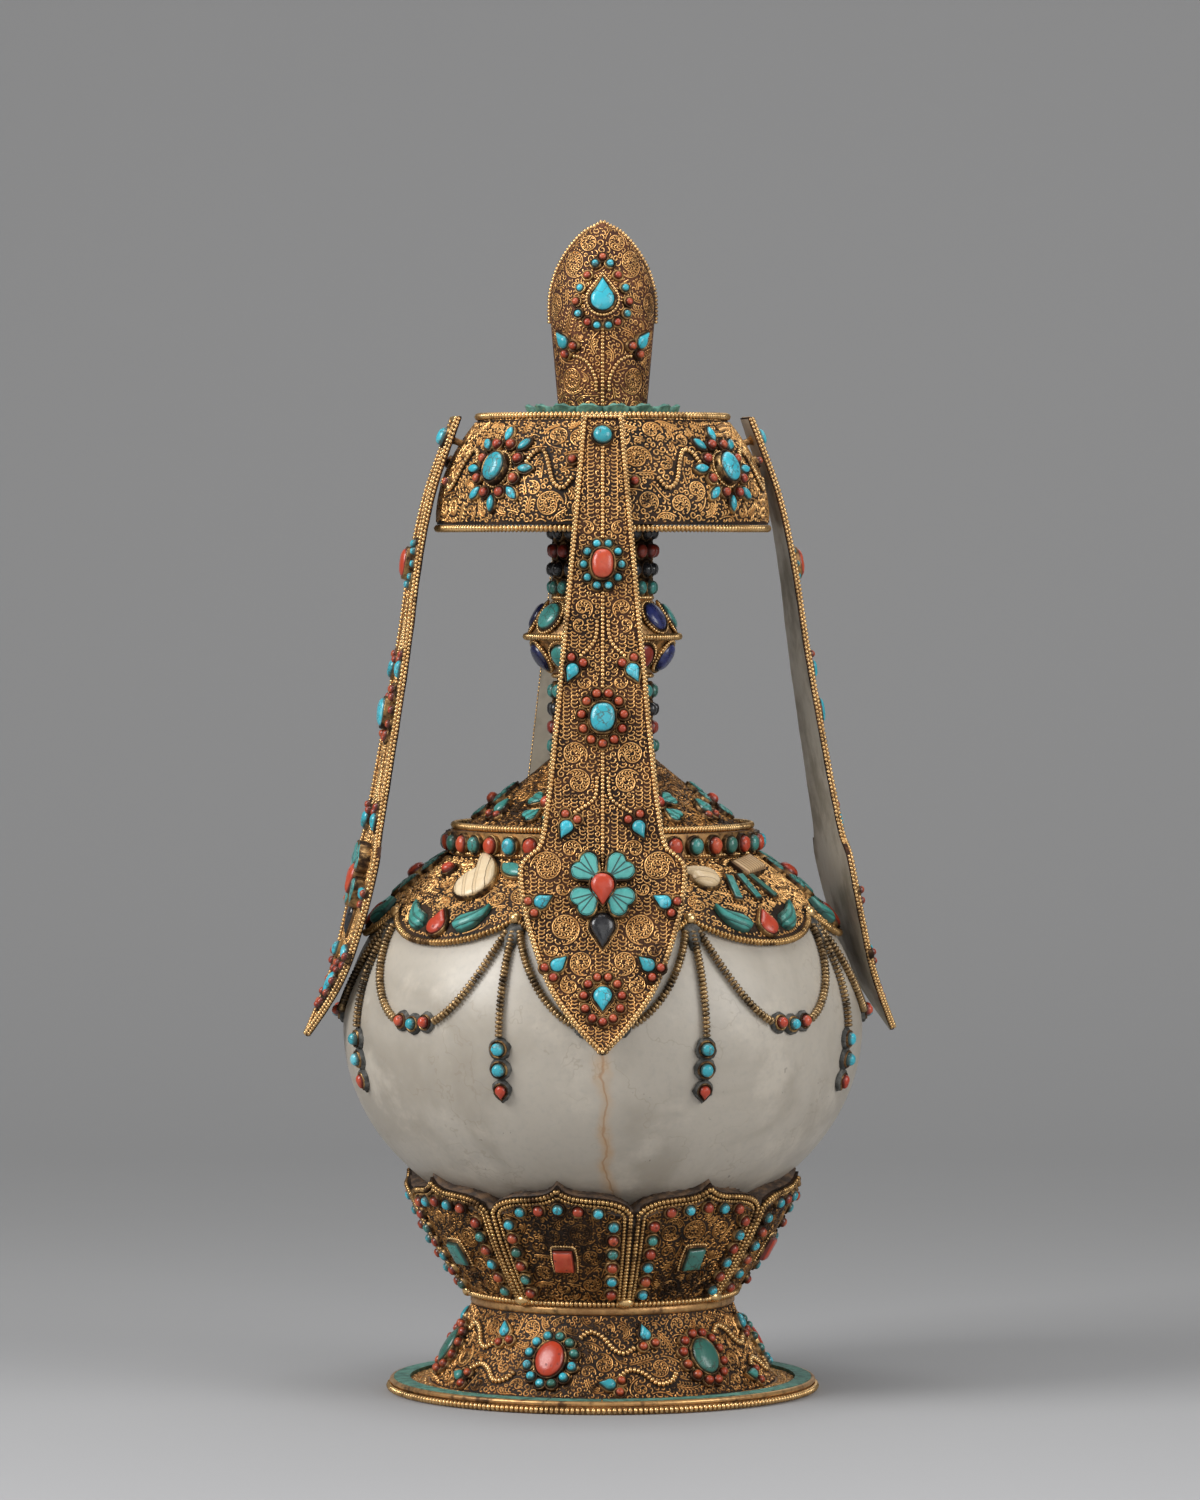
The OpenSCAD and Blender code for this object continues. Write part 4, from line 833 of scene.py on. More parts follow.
def set_bezels(name, stones, body, stands_for, stretch=(1.0, 1.0)):
    """Thin strips folded round the stones."""
    heap = Heap()
    for gem in stones:
        k = gem_points(gem)
        ring = gem.loop(k) * np.array(stretch)
        rim = gem.high * 0.34 + gem.rise
        strip = ((0.9, -0.9), (0.84, rim - 0.15), (0.66, rim + 0.1), (0.42, rim + 0.1), (0.02, rim - 0.12),
                 (-0.02, gem.rise - 0.2))
        rows = [gem.place(gem.grown(ring, by), np.full(k, high)) for by, high in strip]
        heap.add(np.concatenate(rows), ring_faces(len(strip), k))
    heap.make(name, body, BEZEL, stands_for, corner=70)


# Wires and beads by geometry nodes


def finish_tree(graph, shape):
    """Ends a geometry tree: smooth faces, real geometry and the finish."""
    smooth = graph.add("GeometryNodeSetShadeSmooth", None, {"Geometry": shape})
    real = graph.add("GeometryNodeRealizeInstances", None, {"Geometry": smooth})
    done = graph.add("GeometryNodeSetMaterial", None, {"Geometry": real, "Material": graph.inlet("Finish")})
    graph.add("NodeGroupOutput", None, {"Geometry": done})


class Tree(Graph):
    """A geometry tree with named inputs."""

    def __init__(self, name, sizes):
        super().__init__(bpy.data.node_groups.new(name, "GeometryNodeTree"))
        face = self.tree.interface
        face.new_socket("Geometry", in_out="INPUT", socket_type="NodeSocketGeometry")
        self.keys = {}
        kinds = {label: "NodeSocketFloat" for label in sizes} | {"Finish": "NodeSocketMaterial"}
        for label, kind in kinds.items():
            self.keys[label] = face.new_socket(label, in_out="INPUT", socket_type=kind).identifier
        face.new_socket("Geometry", in_out="OUTPUT", socket_type="NodeSocketGeometry")
        self.source = self.tree.nodes.new("NodeGroupInput")

    def inlet(self, label):
        return Value(self, self.source.outputs[label])

    def run(self, mesh, finish, sizes):
        """Plain mesh that the tree makes of a mesh of lines."""
        carrier = bpy.data.objects.new("lines", mesh)
        bpy.context.scene.collection.objects.link(carrier)
        modifier = carrier.modifiers.new("tree", "NODES")
        modifier.node_group = self.tree
        for label, value in sizes.items():
            modifier[self.keys[label]] = value
        modifier[self.keys["Finish"]] = finish
        graph = bpy.context.evaluated_depsgraph_get()
        made = bpy.data.meshes.new_from_object(carrier.evaluated_get(graph))
        carrier.modifiers.clear()
        bpy.data.objects.remove(carrier)
        bpy.data.meshes.remove(mesh)
        return made


def bead_tree():
    """Beads strung along lines: a round section across the line, flattened along it."""
    t = Tree("beaded_wire", ("Diameter", "Pitch", "Length"))
    curve = t.add("GeometryNodeMeshToCurve", None, {"Mesh": t.inlet("Geometry")})
    dots = t.add("GeometryNodeCurveToPoints", {"mode": "LENGTH"},
                 {"Curve": curve, "Length": t.inlet("Pitch")})
    turn = Value(t, t.last.outputs["Rotation"])
    bead = t.add("GeometryNodeMeshUVSphere", None, {"Segments": 8, "Rings": 4, "Radius": 0.5})
    scale = t.add("ShaderNodeCombineXYZ", None,
                  {"X": t.inlet("Diameter"), "Y": t.inlet("Diameter"), "Z": t.inlet("Length")})
    strung = t.add("GeometryNodeInstanceOnPoints", None,
                   {"Points": dots, "Instance": bead, "Rotation": turn, "Scale": scale})
    finish_tree(t, strung)
    return t


def wire_tree():
    """Thin half-round wire along flat lines, its back on the ground."""
    t = Tree("filigree_wire", ("Width",))
    curve = t.add("GeometryNodeMeshToCurve", None, {"Mesh": t.inlet("Geometry")})
    flat = t.add("GeometryNodeSetCurveNormal", {"mode": "Z_UP"}, {"Curve": curve})
    section = t.add("GeometryNodeCurveArc", {"mode": "RADIUS"}, {
        "Resolution": 4, "Radius": t.inlet("Width") * 0.5, "Start Angle": math.pi, "Sweep Angle": math.pi})
    drawn = t.add("GeometryNodeCurveToMesh", None, {"Curve": flat, "Profile Curve": section})
    finish_tree(t, drawn)
    return t


BEADS = bead_tree()
WIRES = wire_tree()


def line_mesh(lines):
    """Mesh of edges from (points, closed) lines in millimetres."""
    points = np.concatenate([p for p, _ in lines])
    edges, start = [], 0
    for p, closed in lines:
        k = np.arange(len(p) - (0 if closed else 1))
        edges.append(np.stack([start + k, start + (k + 1) % len(p)], 1))
        start += len(p)
    edges = np.concatenate(edges)
    mesh = bpy.data.meshes.new("lines")
    mesh.vertices.add(len(points))
    mesh.vertices.foreach_set("co", (points * MM).astype(np.float32).ravel())
    mesh.edges.add(len(edges))
    mesh.edges.foreach_set("vertices", edges.astype(np.int32).ravel())
    mesh.update()
    return mesh


def string_beads(name, lines, body, d, pitch, finish=BEAD, stands_for=(), length=None):
    """Beaded wire of diameter d along (points, closed) lines; beads overlap if no length is given."""
    mesh = BEADS.run(line_mesh(lines), finish, {
        "Diameter": d * MM, "Pitch": pitch * MM, "Length": (length or pitch * 1.05) * MM})
    mesh.name = name
    set_down(mesh, name, body, finish, stands_for)


def circle_line(r, z, n=180):
    """Closed line of a level ring."""
    return circle(r, z, n), True


def bent_lines(bend, lines, h):
    """Open flat lines bent over a surface, at one height above it."""
    return [(bend(p, np.full(len(p), h)), False) for p in lines]


def mesh_arrays(mesh):
    """Corners, in millimetres, and quads of a mesh."""
    co = np.empty(len(mesh.vertices) * 3, np.float32)
    mesh.vertices.foreach_get("co", co)
    loops = np.empty(len(mesh.loops), np.int32)
    mesh.loops.foreach_get("vertex_index", loops)
    return co.reshape(-1, 3).astype(float) / MM, loops.reshape(-1, 4)


# Filigree


class Field:
    """Free ground on a rolled-out surface, kept as a fine grid."""

    STEP = 0.25

    def __init__(self, low, high, inside):
        self.low = np.asarray(low, float)
        count = np.ceil((np.asarray(high) - self.low) / self.STEP).astype(int) + 1
        x = self.low[0] + self.STEP * np.arange(count[0])
        y = self.low[1] + self.STEP * np.arange(count[1])
        self.grid = np.stack(np.meshgrid(x, y, indexing="ij"), -1)
        self.free = inside(self.grid)

    def cell(self, xy):
        k = np.round((xy - self.low) / self.STEP).astype(int)
        return np.clip(k, 0, np.array(self.free.shape) - 1)

    def open(self, xy):
        k = self.cell(xy)
        return self.free[k[..., 0], k[..., 1]]

    def window(self, low, high):
        a, b = self.cell(low), self.cell(high)
        return slice(a[0], b[0] + 1), slice(a[1], b[1] + 1)

    def block_disc(self, xy, reach):
        w = self.window(xy - reach, xy + reach)
        self.free[w] &= ((self.grid[w] - xy) ** 2).sum(-1) > reach * reach

    def block_line(self, line, reach):
        d = line_lengths(line)
        t = np.arange(0, d[-1] + 0.6, 0.6)
        for x, y in zip(np.interp(t, d, line[:, 0]), np.interp(t, d, line[:, 1])):
            self.block_disc(np.array([x, y]), reach)

    def block_loop(self, loop):
        w = self.window(loop.min(0), loop.max(0))
        x, y = self.grid[w][..., 0], self.grid[w][..., 1]
        inside = np.zeros(x.shape, bool)
        for (ax, ay), (bx, by) in zip(loop, np.roll(loop, -1, 0)):
            if ay != by:
                inside ^= ((ay > y) != (by > y)) & (x < (bx - ax) * (y - ay) / (by - ay) + ax)
        self.free[w] &= ~inside


def polar_line(centre, far, angle):
    """Open flat line at distances and angles from a centre."""
    return centre + np.stack([far * np.cos(angle), far * np.sin(angle)], 1), False


def medallion(centre, r, turn, hand):
    """A coiled stem with crescents between its turns."""
    pitch = 2.2
    far = np.linspace(r, 0.5, int(FULL * r * r / 2 / pitch / 0.6) + 8)
    lines = [polar_line(centre, far, turn + hand * (r - far) / pitch * FULL)]
    wind, t = 0.25, np.linspace(-1, 1, 5)
    while r - pitch * wind / FULL > 1.6:
        outer = r - pitch * wind / FULL
        inner = max(outer - pitch, 0.3)
        reach = (outer + inner) / 2 + t * ((outer - inner) / 2 - 0.42)
        lines.append(polar_line(centre, reach, turn + hand * (wind + (1 - t * t) * 1.2 / outer)))
        wind += 1.2 / ((outer + inner) / 2)
    return lines


def curl_line():
    """Almost one turn of wire that tightens inwards."""
    t = np.linspace(0, 1, 9)
    return np.stack([(1 - 0.52 * t) * np.cos(5.9 * t), (1 - 0.52 * t) * np.sin(5.9 * t)], 1)


def scroll_line():
    """Two coils of one wire that turn about its middle."""
    t = np.linspace(0, 1, 10)[:, None]
    half = [1.3, 0] + (0.5 + 0.8 * t) * np.hstack([np.cos(6.6 * t - 3.46), np.sin(6.6 * t - 3.46)])
    return np.vstack([half, -half[-2::-1]])


CURL = curl_line()
SCROLL = scroll_line()
SCALE = np.array([[-1.12, 0.34], [-0.98, -0.14], [-0.5, -0.46], [0.08, -0.52], [0.66, -0.34], [1.02, 0.08],
                  [0.9, 0.5], [0.5, 0.5]])
COMMA = np.array([[0.55, 0.0], [0.3, -0.28], [-0.1, -0.34], [-0.45, -0.12], [-0.5, 0.28]])


def laid(form, centres, angles, hands, size):
    """Copies of a small flat line, turned, mirrored and sized."""
    form = form[None] * np.stack([hands * size, size], -1)[:, None, :]
    x, y = form[..., 0], form[..., 1]
    c, s = np.cos(angles)[:, None], np.sin(angles)[:, None]
    return np.stack([x * c - y * s, x * s + y * c], -1) + centres[:, None, :]


def lay_scales(field, rng):
    """Columns of crescents like the scales of a fish, mirrored about the middle."""
    low, high = field.grid[0, 0], field.grid[-1, -1]
    x, y = np.meshgrid(np.arange(1.5, high[0], 2.75), np.arange(low[1], high[1], 1.36), indexing="ij")
    spots = np.stack([x.ravel(), y.ravel()], 1)
    spots = np.concatenate([spots, spots * [-1, 1]])
    n = len(spots)
    hands = np.sign(spots[:, 0])
    spots = spots + rng.normal(0, 0.06, (n, 2))
    lines = laid(SCALE, spots, 0.32 * hands + rng.normal(0, 0.16, n), hands, rng.uniform(1.0, 1.12, n))
    lines = lines[field.open(lines).all(1)]
    for p in lines:
        for q in p[::2]:
            field.block_disc(q, 0.62)
    return [(p, False) for p in lines]


def swirl(xy):
    """Direction of the small scrolls over the ground."""
    x, y = xy[..., 0], xy[..., 1]
    return 1.7 * np.sin(x / 6.3 + np.sin(y / 5.1)) + 1.5 * np.sin(y / 5.7 - x / 8.3)


def throw(field, rng, form, size, room, tries):
    """Copies of a line thrown onto the ground that is still free, along the swirl, while they fit."""
    cells = np.argwhere(field.free)
    n = int(len(cells) * field.STEP ** 2 / (size * size) * tries)
    if not n:
        return []
    spots = field.low + cells[rng.integers(0, len(cells), n)] * field.STEP
    angles = swirl(spots) + rng.normal(0, 0.25, n)
    lines = laid(form, spots, angles, rng.choice((-1.0, 1.0), n), np.full(n, size))
    kept = []
    for p in lines[field.open(lines).all(1)]:
        if field.open(p).all():
            kept.append((p, False))
            for q in p:
                field.block_disc(q, room)
    return kept


def keep_off(field, lines, room=0.74):
    """Takes the ground under some lines out of the free ground."""
    for p, _ in lines:
        field.block_line(p, room)


def lay_ferns(field, rng):
    """Stems that follow the swirl, with crescents down both sides."""
    cells = np.argwhere(field.free)
    kept = []
    for p in field.low + cells[rng.integers(0, len(cells), len(cells) // 60)] * field.STEP:
        stem = [p]
        while len(stem) < 16 and field.open(stem[-1]):
            a = swirl(stem[-1])
            stem.append(stem[-1] + 0.65 * np.array([math.cos(a), math.sin(a)]))
        stem = np.array(stem[:-1])
        if len(stem) < 7:
            continue
        fern = [(stem, False)]
        ahead = unit(np.gradient(stem, axis=0))
        turn = np.arctan2(ahead[:, 1], ahead[:, 0])
        for i in range(1, len(stem) - 1, 2):
            for k in (-1.0, 1.0):
                spot = stem[i] + 1.3 * k * np.array([-ahead[i, 1], ahead[i, 0]])
                angle = turn[i:i + 1] + 0.95 * k
                leaf = laid(SCALE * [1, k], spot[None], angle, np.ones(1), np.full(1, 0.8))[0]
                if field.open(leaf).all():
                    fern.append((leaf, False))
        keep_off(field, fern)
        kept += fern
    return kept


SMALL_LINES = ((SCROLL, 1.0, 6), (SCROLL, 0.8, 6), (SCALE, 1.0, 16), (CURL, 0.75, 10), (SCALE, 0.75, 16),
               (COMMA, 0.9, 14), (COMMA, 0.6, 14))


def filigree_lines(field, seed, sizes=((5.0, 0.12), (4.0, 0.12), (3.0, 0.07)), mirror=False, scales=False):
    """Flat lines that fill the free ground: medallions of each (radius, share of the ground), then small
    lines; mirror repeats the medallions about the middle, scales lays columns of crescents for ferns."""
    rng = np.random.default_rng(seed)
    lines = []
    probe = np.concatenate([circle(k, 0.0, 20)[:, :2] for k in (1.0, 0.62, 0.25)])
    area = field.free.sum() * field.STEP ** 2
    for r, share in sizes:
        cells = np.argwhere(field.free)
        wanted = area * share / (math.pi * r * r)
        for p in field.low + cells[rng.integers(0, len(cells), int(wanted * 60))] * field.STEP:
            pair = [p, p * [-1, 1]] if mirror else [p]
            if wanted > 0 and all(field.open(q + probe * (r + 0.1)).all() for q in pair) and not (
                    mirror and abs(p[0]) < r + 0.2):
                turn, hand = rng.uniform(0, FULL), rng.choice((-1, 1))
                for k, q in enumerate(pair):
                    coil = medallion(q, r, turn if k == 0 else math.pi - turn, hand if k == 0 else -hand)
                    keep_off(field, coil)
                    lines += coil
                    wanted -= 1
    lines += lay_scales(field, rng) if scales else lay_ferns(field, rng)
    for form, size, tries in SMALL_LINES:
        lines += throw(field, rng, form, size, 0.7, tries)
    return lines


def flat_wires(field, seed, finish, width, **pattern):
    """Corners and faces of the wires, drawn flat by the tree."""
    lines = [(np.pad(p, ((0, 0), (0, 1))), closed) for p, closed in filigree_lines(field, seed, **pattern)]
    drawn = WIRES.run(line_mesh(lines), finish, {"Width": width * MM})
    points, quads = mesh_arrays(drawn)
    bpy.data.meshes.remove(drawn)
    return points, quads


def bend_wires(name, points, quads, bend, body, finish):
    """Flat wires bent over their surface."""
    bent = bend(points[:, :2], points[:, 2] * 1.7 - 0.03)
    set_down(mesh_of(name, bent, quads, np.zeros((0, 3), int)), name, body, finish)


def lay_filigree(name, field, bend, body, finish, seed, width=0.5, **pattern):
    """Wires drawn flat over the free ground and bent over the surface."""
    bend_wires(name, *flat_wires(field, seed, finish, width, **pattern), bend, body, finish)


def wall_field(wall, margin_low, margin_high, inside=None):
    """Free ground of a rolled-out wall between two margins."""
    az = FRONT + np.linspace(-math.pi, math.pi, 181)
    rim = np.concatenate([wall.flat(az, np.full(181, s)) for s in (0.0, wall.length)])

    def within(grid):
        turn, s = wall.unroll(grid)
        free = (s > margin_low) & (s < wall.length - margin_high) & (np.abs(turn) < math.pi - 0.02)
        return free & inside(turn, s) if inside else free

    return Field(rim.min(0), rim.max(0), within)


def ring_field(inner, outer, half):
    """Free ground of a level ring, in a square of a half side."""
    def within(grid):
        far = np.hypot(grid[..., 0], grid[..., 1])
        return (far < outer) & (far > inner)

    return Field((-half, -half), (half, half), within)


def level_bend(z):
    """Lays flat lines level at a height."""
    return lambda xy, h: np.stack([xy[..., 0], xy[..., 1], z + h], -1)


def block_gems(field, stones, spot, room=0.75):
    """Takes the ground under stones out of the free ground."""
    for gem in stones:
        loop = gem.grown(gem.loop(16), room)
        field.block_loop(spot(gem.place(loop, np.full(16, -0.4))))


# Surfaces of this vase

SIDES = ("front", "right", "back", "left")
STONE_KINDS = ("turquoise", "coral", "lapis", "bone")
PANEL = math.radians(45)
EMBLEM_LOW, EMBLEM_MIDDLE, EMBLEM_TOP = 160, 174.0, 187
COLLAR_ROW_LOW, COLLAR_ROW_TOP = 190, 195
CONE_FLOWER_LOW = 198
CLOVER = {"upper": (5.5, 6.7), "lower": (5.8, -4.4)}
rng = np.random.default_rng(41)
foot = Wall("foot")
cup = Wall("lotus_cup")
mantle = Wall("shoulder_mantle", globe=True)
cone = Wall("shoulder_cone")
hat = Wall("hat_band")
lappets = {side: Lappet(side) for side in SIDES}
gems = {n: [Gem(p, t) for p, t in islands(n)] for n in nodes if n.rsplit("_", 1)[-1] in STONE_KINDS}


def panel_middle(az):
    """Azimuth of the middle of the mantle's panel that a stone lies in."""
    return round(az / PANEL) * PANEL


def close_clover(lap, stones):
    """Draws the four petals of a lappet under its coral drop."""
    hearts = [g for g in stones if g.lobed]
    middle = np.mean([lap.spot(g.seat)[1] for g in hearts])
    for g in hearts:
        x, y = lap.spot(g.seat)
        off, rise = CLOVER["upper" if y > middle else "lower"]
        flat = np.array([math.copysign(off, x), middle + rise])
        g.move(lap.bend(flat, (g.seat - lap.bend(np.array([x, y]), 0.0)) @ g.out), None, 1.2)
        g.high = 1.7


def fill_out(gem, by, corner=2.45):
    """Turns an oval stone into a barrel."""
    half = np.abs(gem.outline).max(0)
    share = np.abs(gem.outline / half) ** corner
    gem.grow((share.sum(1) ** (-1 / corner))[:, None] * np.asarray(by))


def is_drop(gem):
    """Whether a stone is the drop of a trefoil."""
    return 6.5 < gem.size < 8


def foot_centre(gem):
    """Whether a stone is one of the large ones of the foot."""
    return gem.size > 10 and gem.z < cup.z[0]


def slide_trefoils(stones):
    """Carries the trefoils of the foot along to the ends of the bead waves."""
    centres = [g.az for g in stones if foot_centre(g)]
    step = FULL / len(centres)
    moves = []
    for drop in [g for g in stones if is_drop(g) and g.z < cup.z[0]]:
        share = ((drop.az - centres[0]) % step) / step
        turn = ((0.61 if drop.z > 18 else 0.36) - share) * step
        for g in stones:
            if np.linalg.norm(g.seat - drop.seat) < 5.5 and (g is drop or g.size < 3.05):
                moves.append((g, turn))
    for g, turn in moves:
        c, s = math.cos(turn), math.sin(turn)
        spin = np.array([[c, -s, 0], [s, c, 0], [0, 0, 1]])
        g.move(spin @ g.seat, spin @ g.out)


def spread_emblems(wall, stones):
    """Emblems of the mantle, opened out about the middle of their panel."""
    middle = wall.along(EMBLEM_MIDDLE)
    for g in stones:
        panel, s = panel_middle(g.az), wall.along(g.z)
        lift = (g.seat - wall.place(g.az, s, 0.0)) @ g.out
        az, s = panel + (g.az - panel) * 1.45, middle + (s - middle) * 1.15
        out = wall.place(az, s, 1.0) - wall.place(az, s, 0.0)
        g.move(wall.place(az, s, lift), out, 1.6 if g.area > 30 else 1.4)


def belly_lines():
    """Widest, lowest and highest level of the stone, and the fits of the two halves of its outline."""
    points, tris = read("stone_belly")
    inner_point = [0, 0, 127]
    outward = (face_normals(points, tris)[0] * unit(points[tris].mean(1) - inner_point)).sum(1) > 0.2
    used = points[np.unique(tris[outward])]
    z, r = used[:, 2], np.hypot(used[:, 0], used[:, 1])
    wide = z[np.argmax(r)]
    fits = []
    for half in (z <= wide, z >= wide):
        keep = half & (r > 30)
        for reach in (3.0, 0.3):
            fit = np.polyfit(z[keep], r[keep] ** 2, 2)
            keep = half & (np.abs(np.sqrt(np.maximum(np.polyval(fit, z), 0)) - r) < reach)
        fits.append(fit)
    return wide, z.min(), z.max(), fits


WIDE_Z, BELLY_LOW, BELLY_TOP, BELLY_FITS = belly_lines()
GARLAND_TOP = WIDE_Z + 9


def belly_r(z):
    """Radius of the stone at a height."""
    z = np.asarray(z, float)
    low, high = (np.sqrt(np.maximum(np.polyval(f, z), 0)) for f in BELLY_FITS)
    return np.where(z < WIDE_Z, low, high)


def on_belly(az, z, lift):
    """Point above the stone, moved along its normal."""
    r, z = belly_r(z), np.asarray(z, float)
    slope = (belly_r(z + 0.2) - belly_r(z - 0.2)) / 0.4
    out = 1 / np.sqrt(1 + slope ** 2)
    r, z = r + lift * out, z - lift * slope * out
    return np.stack([r * np.cos(az), r * np.sin(az), z], -1)


def ring_sizes(node):
    """(radius, height, width) of each turned wire of a CAD node, lowest first."""
    found = []
    for points, _ in islands(node):
        r, z = np.hypot(points[:, 0], points[:, 1]), points[:, 2]
        found.append(((r.max() + r.min()) / 2, (z.max() + z.min()) / 2, r.max() - r.min()))
    return sorted(found, key=lambda ring: ring[1])


# Belly


def make_belly():
    """The stone, a little uneven, with its open mouth."""
    rows, n = 100, 192
    mouth_r, mouth_deep = 14, 9
    z = BELLY_LOW + (BELLY_TOP - BELLY_LOW) * (1 - np.cos(np.linspace(0, math.pi, rows))) / 2
    a = turns(n)
    swell = (np.sin(2 * a + 0.6)[None] * np.sin((z - BELLY_LOW) / 45 + 0.4)[:, None] * 0.5
             + np.sin(3 * a + 2.1)[None] * np.cos(z / 21)[:, None] * 0.3
             + np.sin(7 * a + 0.3)[None] * np.sin(z / 9 + 1)[:, None] * 0.12)
    r = belly_r(z)[:, None] + np.minimum(swell - 0.55, 0.1) * 0.3
    outside = np.stack([r * np.cos(a), r * np.sin(a), np.repeat(z[:, None], n, 1)], -1).reshape(-1, 3)
    mouth = [circle(mouth_r, level, n) for level in (BELLY_TOP, BELLY_TOP - mouth_deep)]
    heap = Heap()
    heap.add(np.concatenate([outside, *mouth, [[0, 0, BELLY_LOW]]]), ring_faces(rows + 2, n),
             fan_faces(0, n, (rows + 2) * n)[:, [1, 0, 2]])
    heap.make("belly_stone", "vase", STONE, ["stone_belly"], corner=70)


make_belly()

# Form of the finial


def upper_line(z, v):
    """Outer line of a convex form: the points that nothing lies outside of."""
    order = np.lexsort((-v, z))
    hull = []
    for p in zip(z[order], v[order]):
        while len(hull) > 1 and ((hull[-1][0] - hull[-2][0]) * (p[1] - hull[-2][1])
                                 - (hull[-1][1] - hull[-2][1]) * (p[0] - hull[-2][0])) >= 0:
            hull.pop()
        hull.append(p)
    return np.array(hull)


def finial_form():
    """Even heights of the finial, and its half width and half depth there."""
    points = read("finial")[0]
    z = points[:, 2]
    level = np.linspace(z.min(), z.max(), 90)
    lines = [upper_line(z, np.abs(points[:, axis])) for axis in (0, 1)]
    return level, *(soften(np.interp(level, line[:, 0], line[:, 1])) for line in lines)


FINIAL_Z, FINIAL_W, FINIAL_D = finial_form()
LEAF_Z = FINIAL_Z[0] + 0.47 * (FINIAL_Z[-1] - FINIAL_Z[0])
KEEN = 1 + 0.22 * np.clip((FINIAL_Z - LEAF_Z) / 26, 0, 1)


def make_finial():
    """Sheet of the finial, closed at its tip, with keener edges higher up."""
    rows, n = len(FINIAL_Z), 96
    a = turns(n)
    x = FINIAL_W[:, None] * np.cos(a)
    y = FINIAL_D[:, None] * np.sign(np.sin(a)) * np.abs(np.sin(a)) ** KEEN[:, None]
    sheet = np.stack([x, y, np.repeat(FINIAL_Z[:, None], n, 1)], -1).reshape(-1, 3)
    heap = Heap()
    heap.add(np.concatenate([sheet, [[0, 0, FINIAL_Z[-1] + 0.3]]]), *domed_faces(rows, n))
    heap.make("finial_sheet", "lid", COPPER_GROUND, ["finial"], corner=50)


make_finial()


def on_finial(gem):
    """Whether a stone of the lid sits on the finial, not on the hat."""
    return gem.z > FINIAL_Z[0]


def finial_leaf(side):
    """Bends flat x and height onto the front (side -1) or back leaf."""
    def bend(xy, h):
        z = xy[..., 1]
        wide, deep, keen = (np.interp(z, FINIAL_Z, v) for v in (FINIAL_W, FINIAL_D, KEEN))
        x = wide * np.sin(np.clip(xy[..., 0] / wide, -1.55, 1.55))
        y = deep * (1 - (x / wide) ** 2) ** (keen / 2) + h
        return np.stack([-side * x, side * y, z], -1)

    return bend


def open_finial_ring(side):
    """Seats small stones in a ring of a drop's shape, round a larger drop, and gives one more for it."""
    here = [g for g in gems["lid_turquoise"] + gems["lid_coral"] if on_finial(g) and g.seat[1] * side > 0.5]
    bend = finial_leaf(side)
    ring_step = FULL / 14

    def seat(g, x, z, lift, grow):
        at = np.array([[x, z], [x + 0.3, z], [x, z + 0.3]])
        spot, right, over = bend(at, np.zeros(3))
        out = np.cross(right - spot, over - spot)
        out = unit(out * np.sign(out[1] * side))
        g.move(spot + out * lift, out, grow)

    drop = max((g for g in here if g.z > LEAF_Z), key=lambda g: g.size)
    middle = drop.z
    ring = []
    for g in here:
        if g.size < 2.6:
            t = round(math.atan2(-side * g.seat[0], g.z - middle) / ring_step - 0.5) * ring_step
            ring.append((math.cos(t), g))
            point = 2.6 * max(math.cos(t), 0) ** 6
            x = 8.7 * math.sin(t) * (1 - 0.38 * math.cos(t))
            seat(g, x, middle + 1.6 + 10.4 * math.cos(t) + point, 0.2, 1.12)
        elif is_drop(g):
            g.grow(1.2)
    seat(drop, 0.0, middle + 0.6, 0.8, 1.38)
    lowest = min(ring, key=lambda item: item[0])[1]
    twin, z = copy.copy(lowest), lowest.z
    for g, x in ((lowest, -1.9), (twin, 1.9)):
        seat(g, x, z, 0.2, 1.0)
    return twin


# Stones and their strips

LEAF_SPINE = np.array([[-4.6, -2.6], [-3.4, -2.3], [-1.4, -1.6], [1.2, -0.2], [3.4, 1.6], [5.2, 3.8],
                       [6.2, 6.0]]) * 1.05
LEAF_HALF = (0.9, 2.5, 3.5, 3.2, 2.2, 1.2, 0.25)
LEAF_CROSS = ((-1.0, -0.3), (-1.0, 0.35), (-0.78, 0.72), (-0.4, 0.95), (0.0, 1.0), (0.4, 0.95), (0.78, 0.72),
              (1.0, 0.35), (1.0, -0.3))
ROW_STRETCH = (1.08, 1.2)
KNOP_STRETCH = (1.4, 1.25)


def set_curls(stones):
    """Carved leaves of the mantle, whose outer end curls up and inwards."""
    heap = Heap()
    spine = smooth_line(LEAF_SPINE, 4)
    half = np.interp(np.linspace(0, 6, len(spine)), np.arange(7), LEAF_HALF)
    ahead = unit(np.gradient(spine, axis=0))
    over = np.stack([-ahead[:, 1], ahead[:, 0]], 1)
    n, k = len(spine), len(LEAF_CROSS)
    ends = [np.arange(k) * n, np.arange(k)[::-1] * n + n - 1]
    caps = np.concatenate([np.stack([np.full(k - 2, e[0]), e[1:-1], e[2:]], 1) for e in ends])
    faces = ring_faces(k, n, False)
    across = np.concatenate([off * half for off, _ in LEAF_CROSS])
    rim = np.repeat([abs(off) for off, _ in LEAF_CROSS], n)
    for g in stones:
        hand = math.copysign(1.0, math.sin(g.az - panel_middle(g.az)))
        order = -1 if hand > 0 else 1
        rows = []
        for off, level in LEAF_CROSS:
            flat = (spine + over * (half * off)[:, None]) * [hand, 1.0]
            rows.append(g.place(flat, level * g.high * (0.55 + 0.45 * half / half.max())))
        heap.add(np.concatenate(rows), faces[:, ::order], caps[:, ::order], tone=rng.uniform(0, 1),
                 rim=rim, across=across)
    heap.make("mantle_curls", "vase", CURLED, ["shoulder_turquoise"], corner=60)


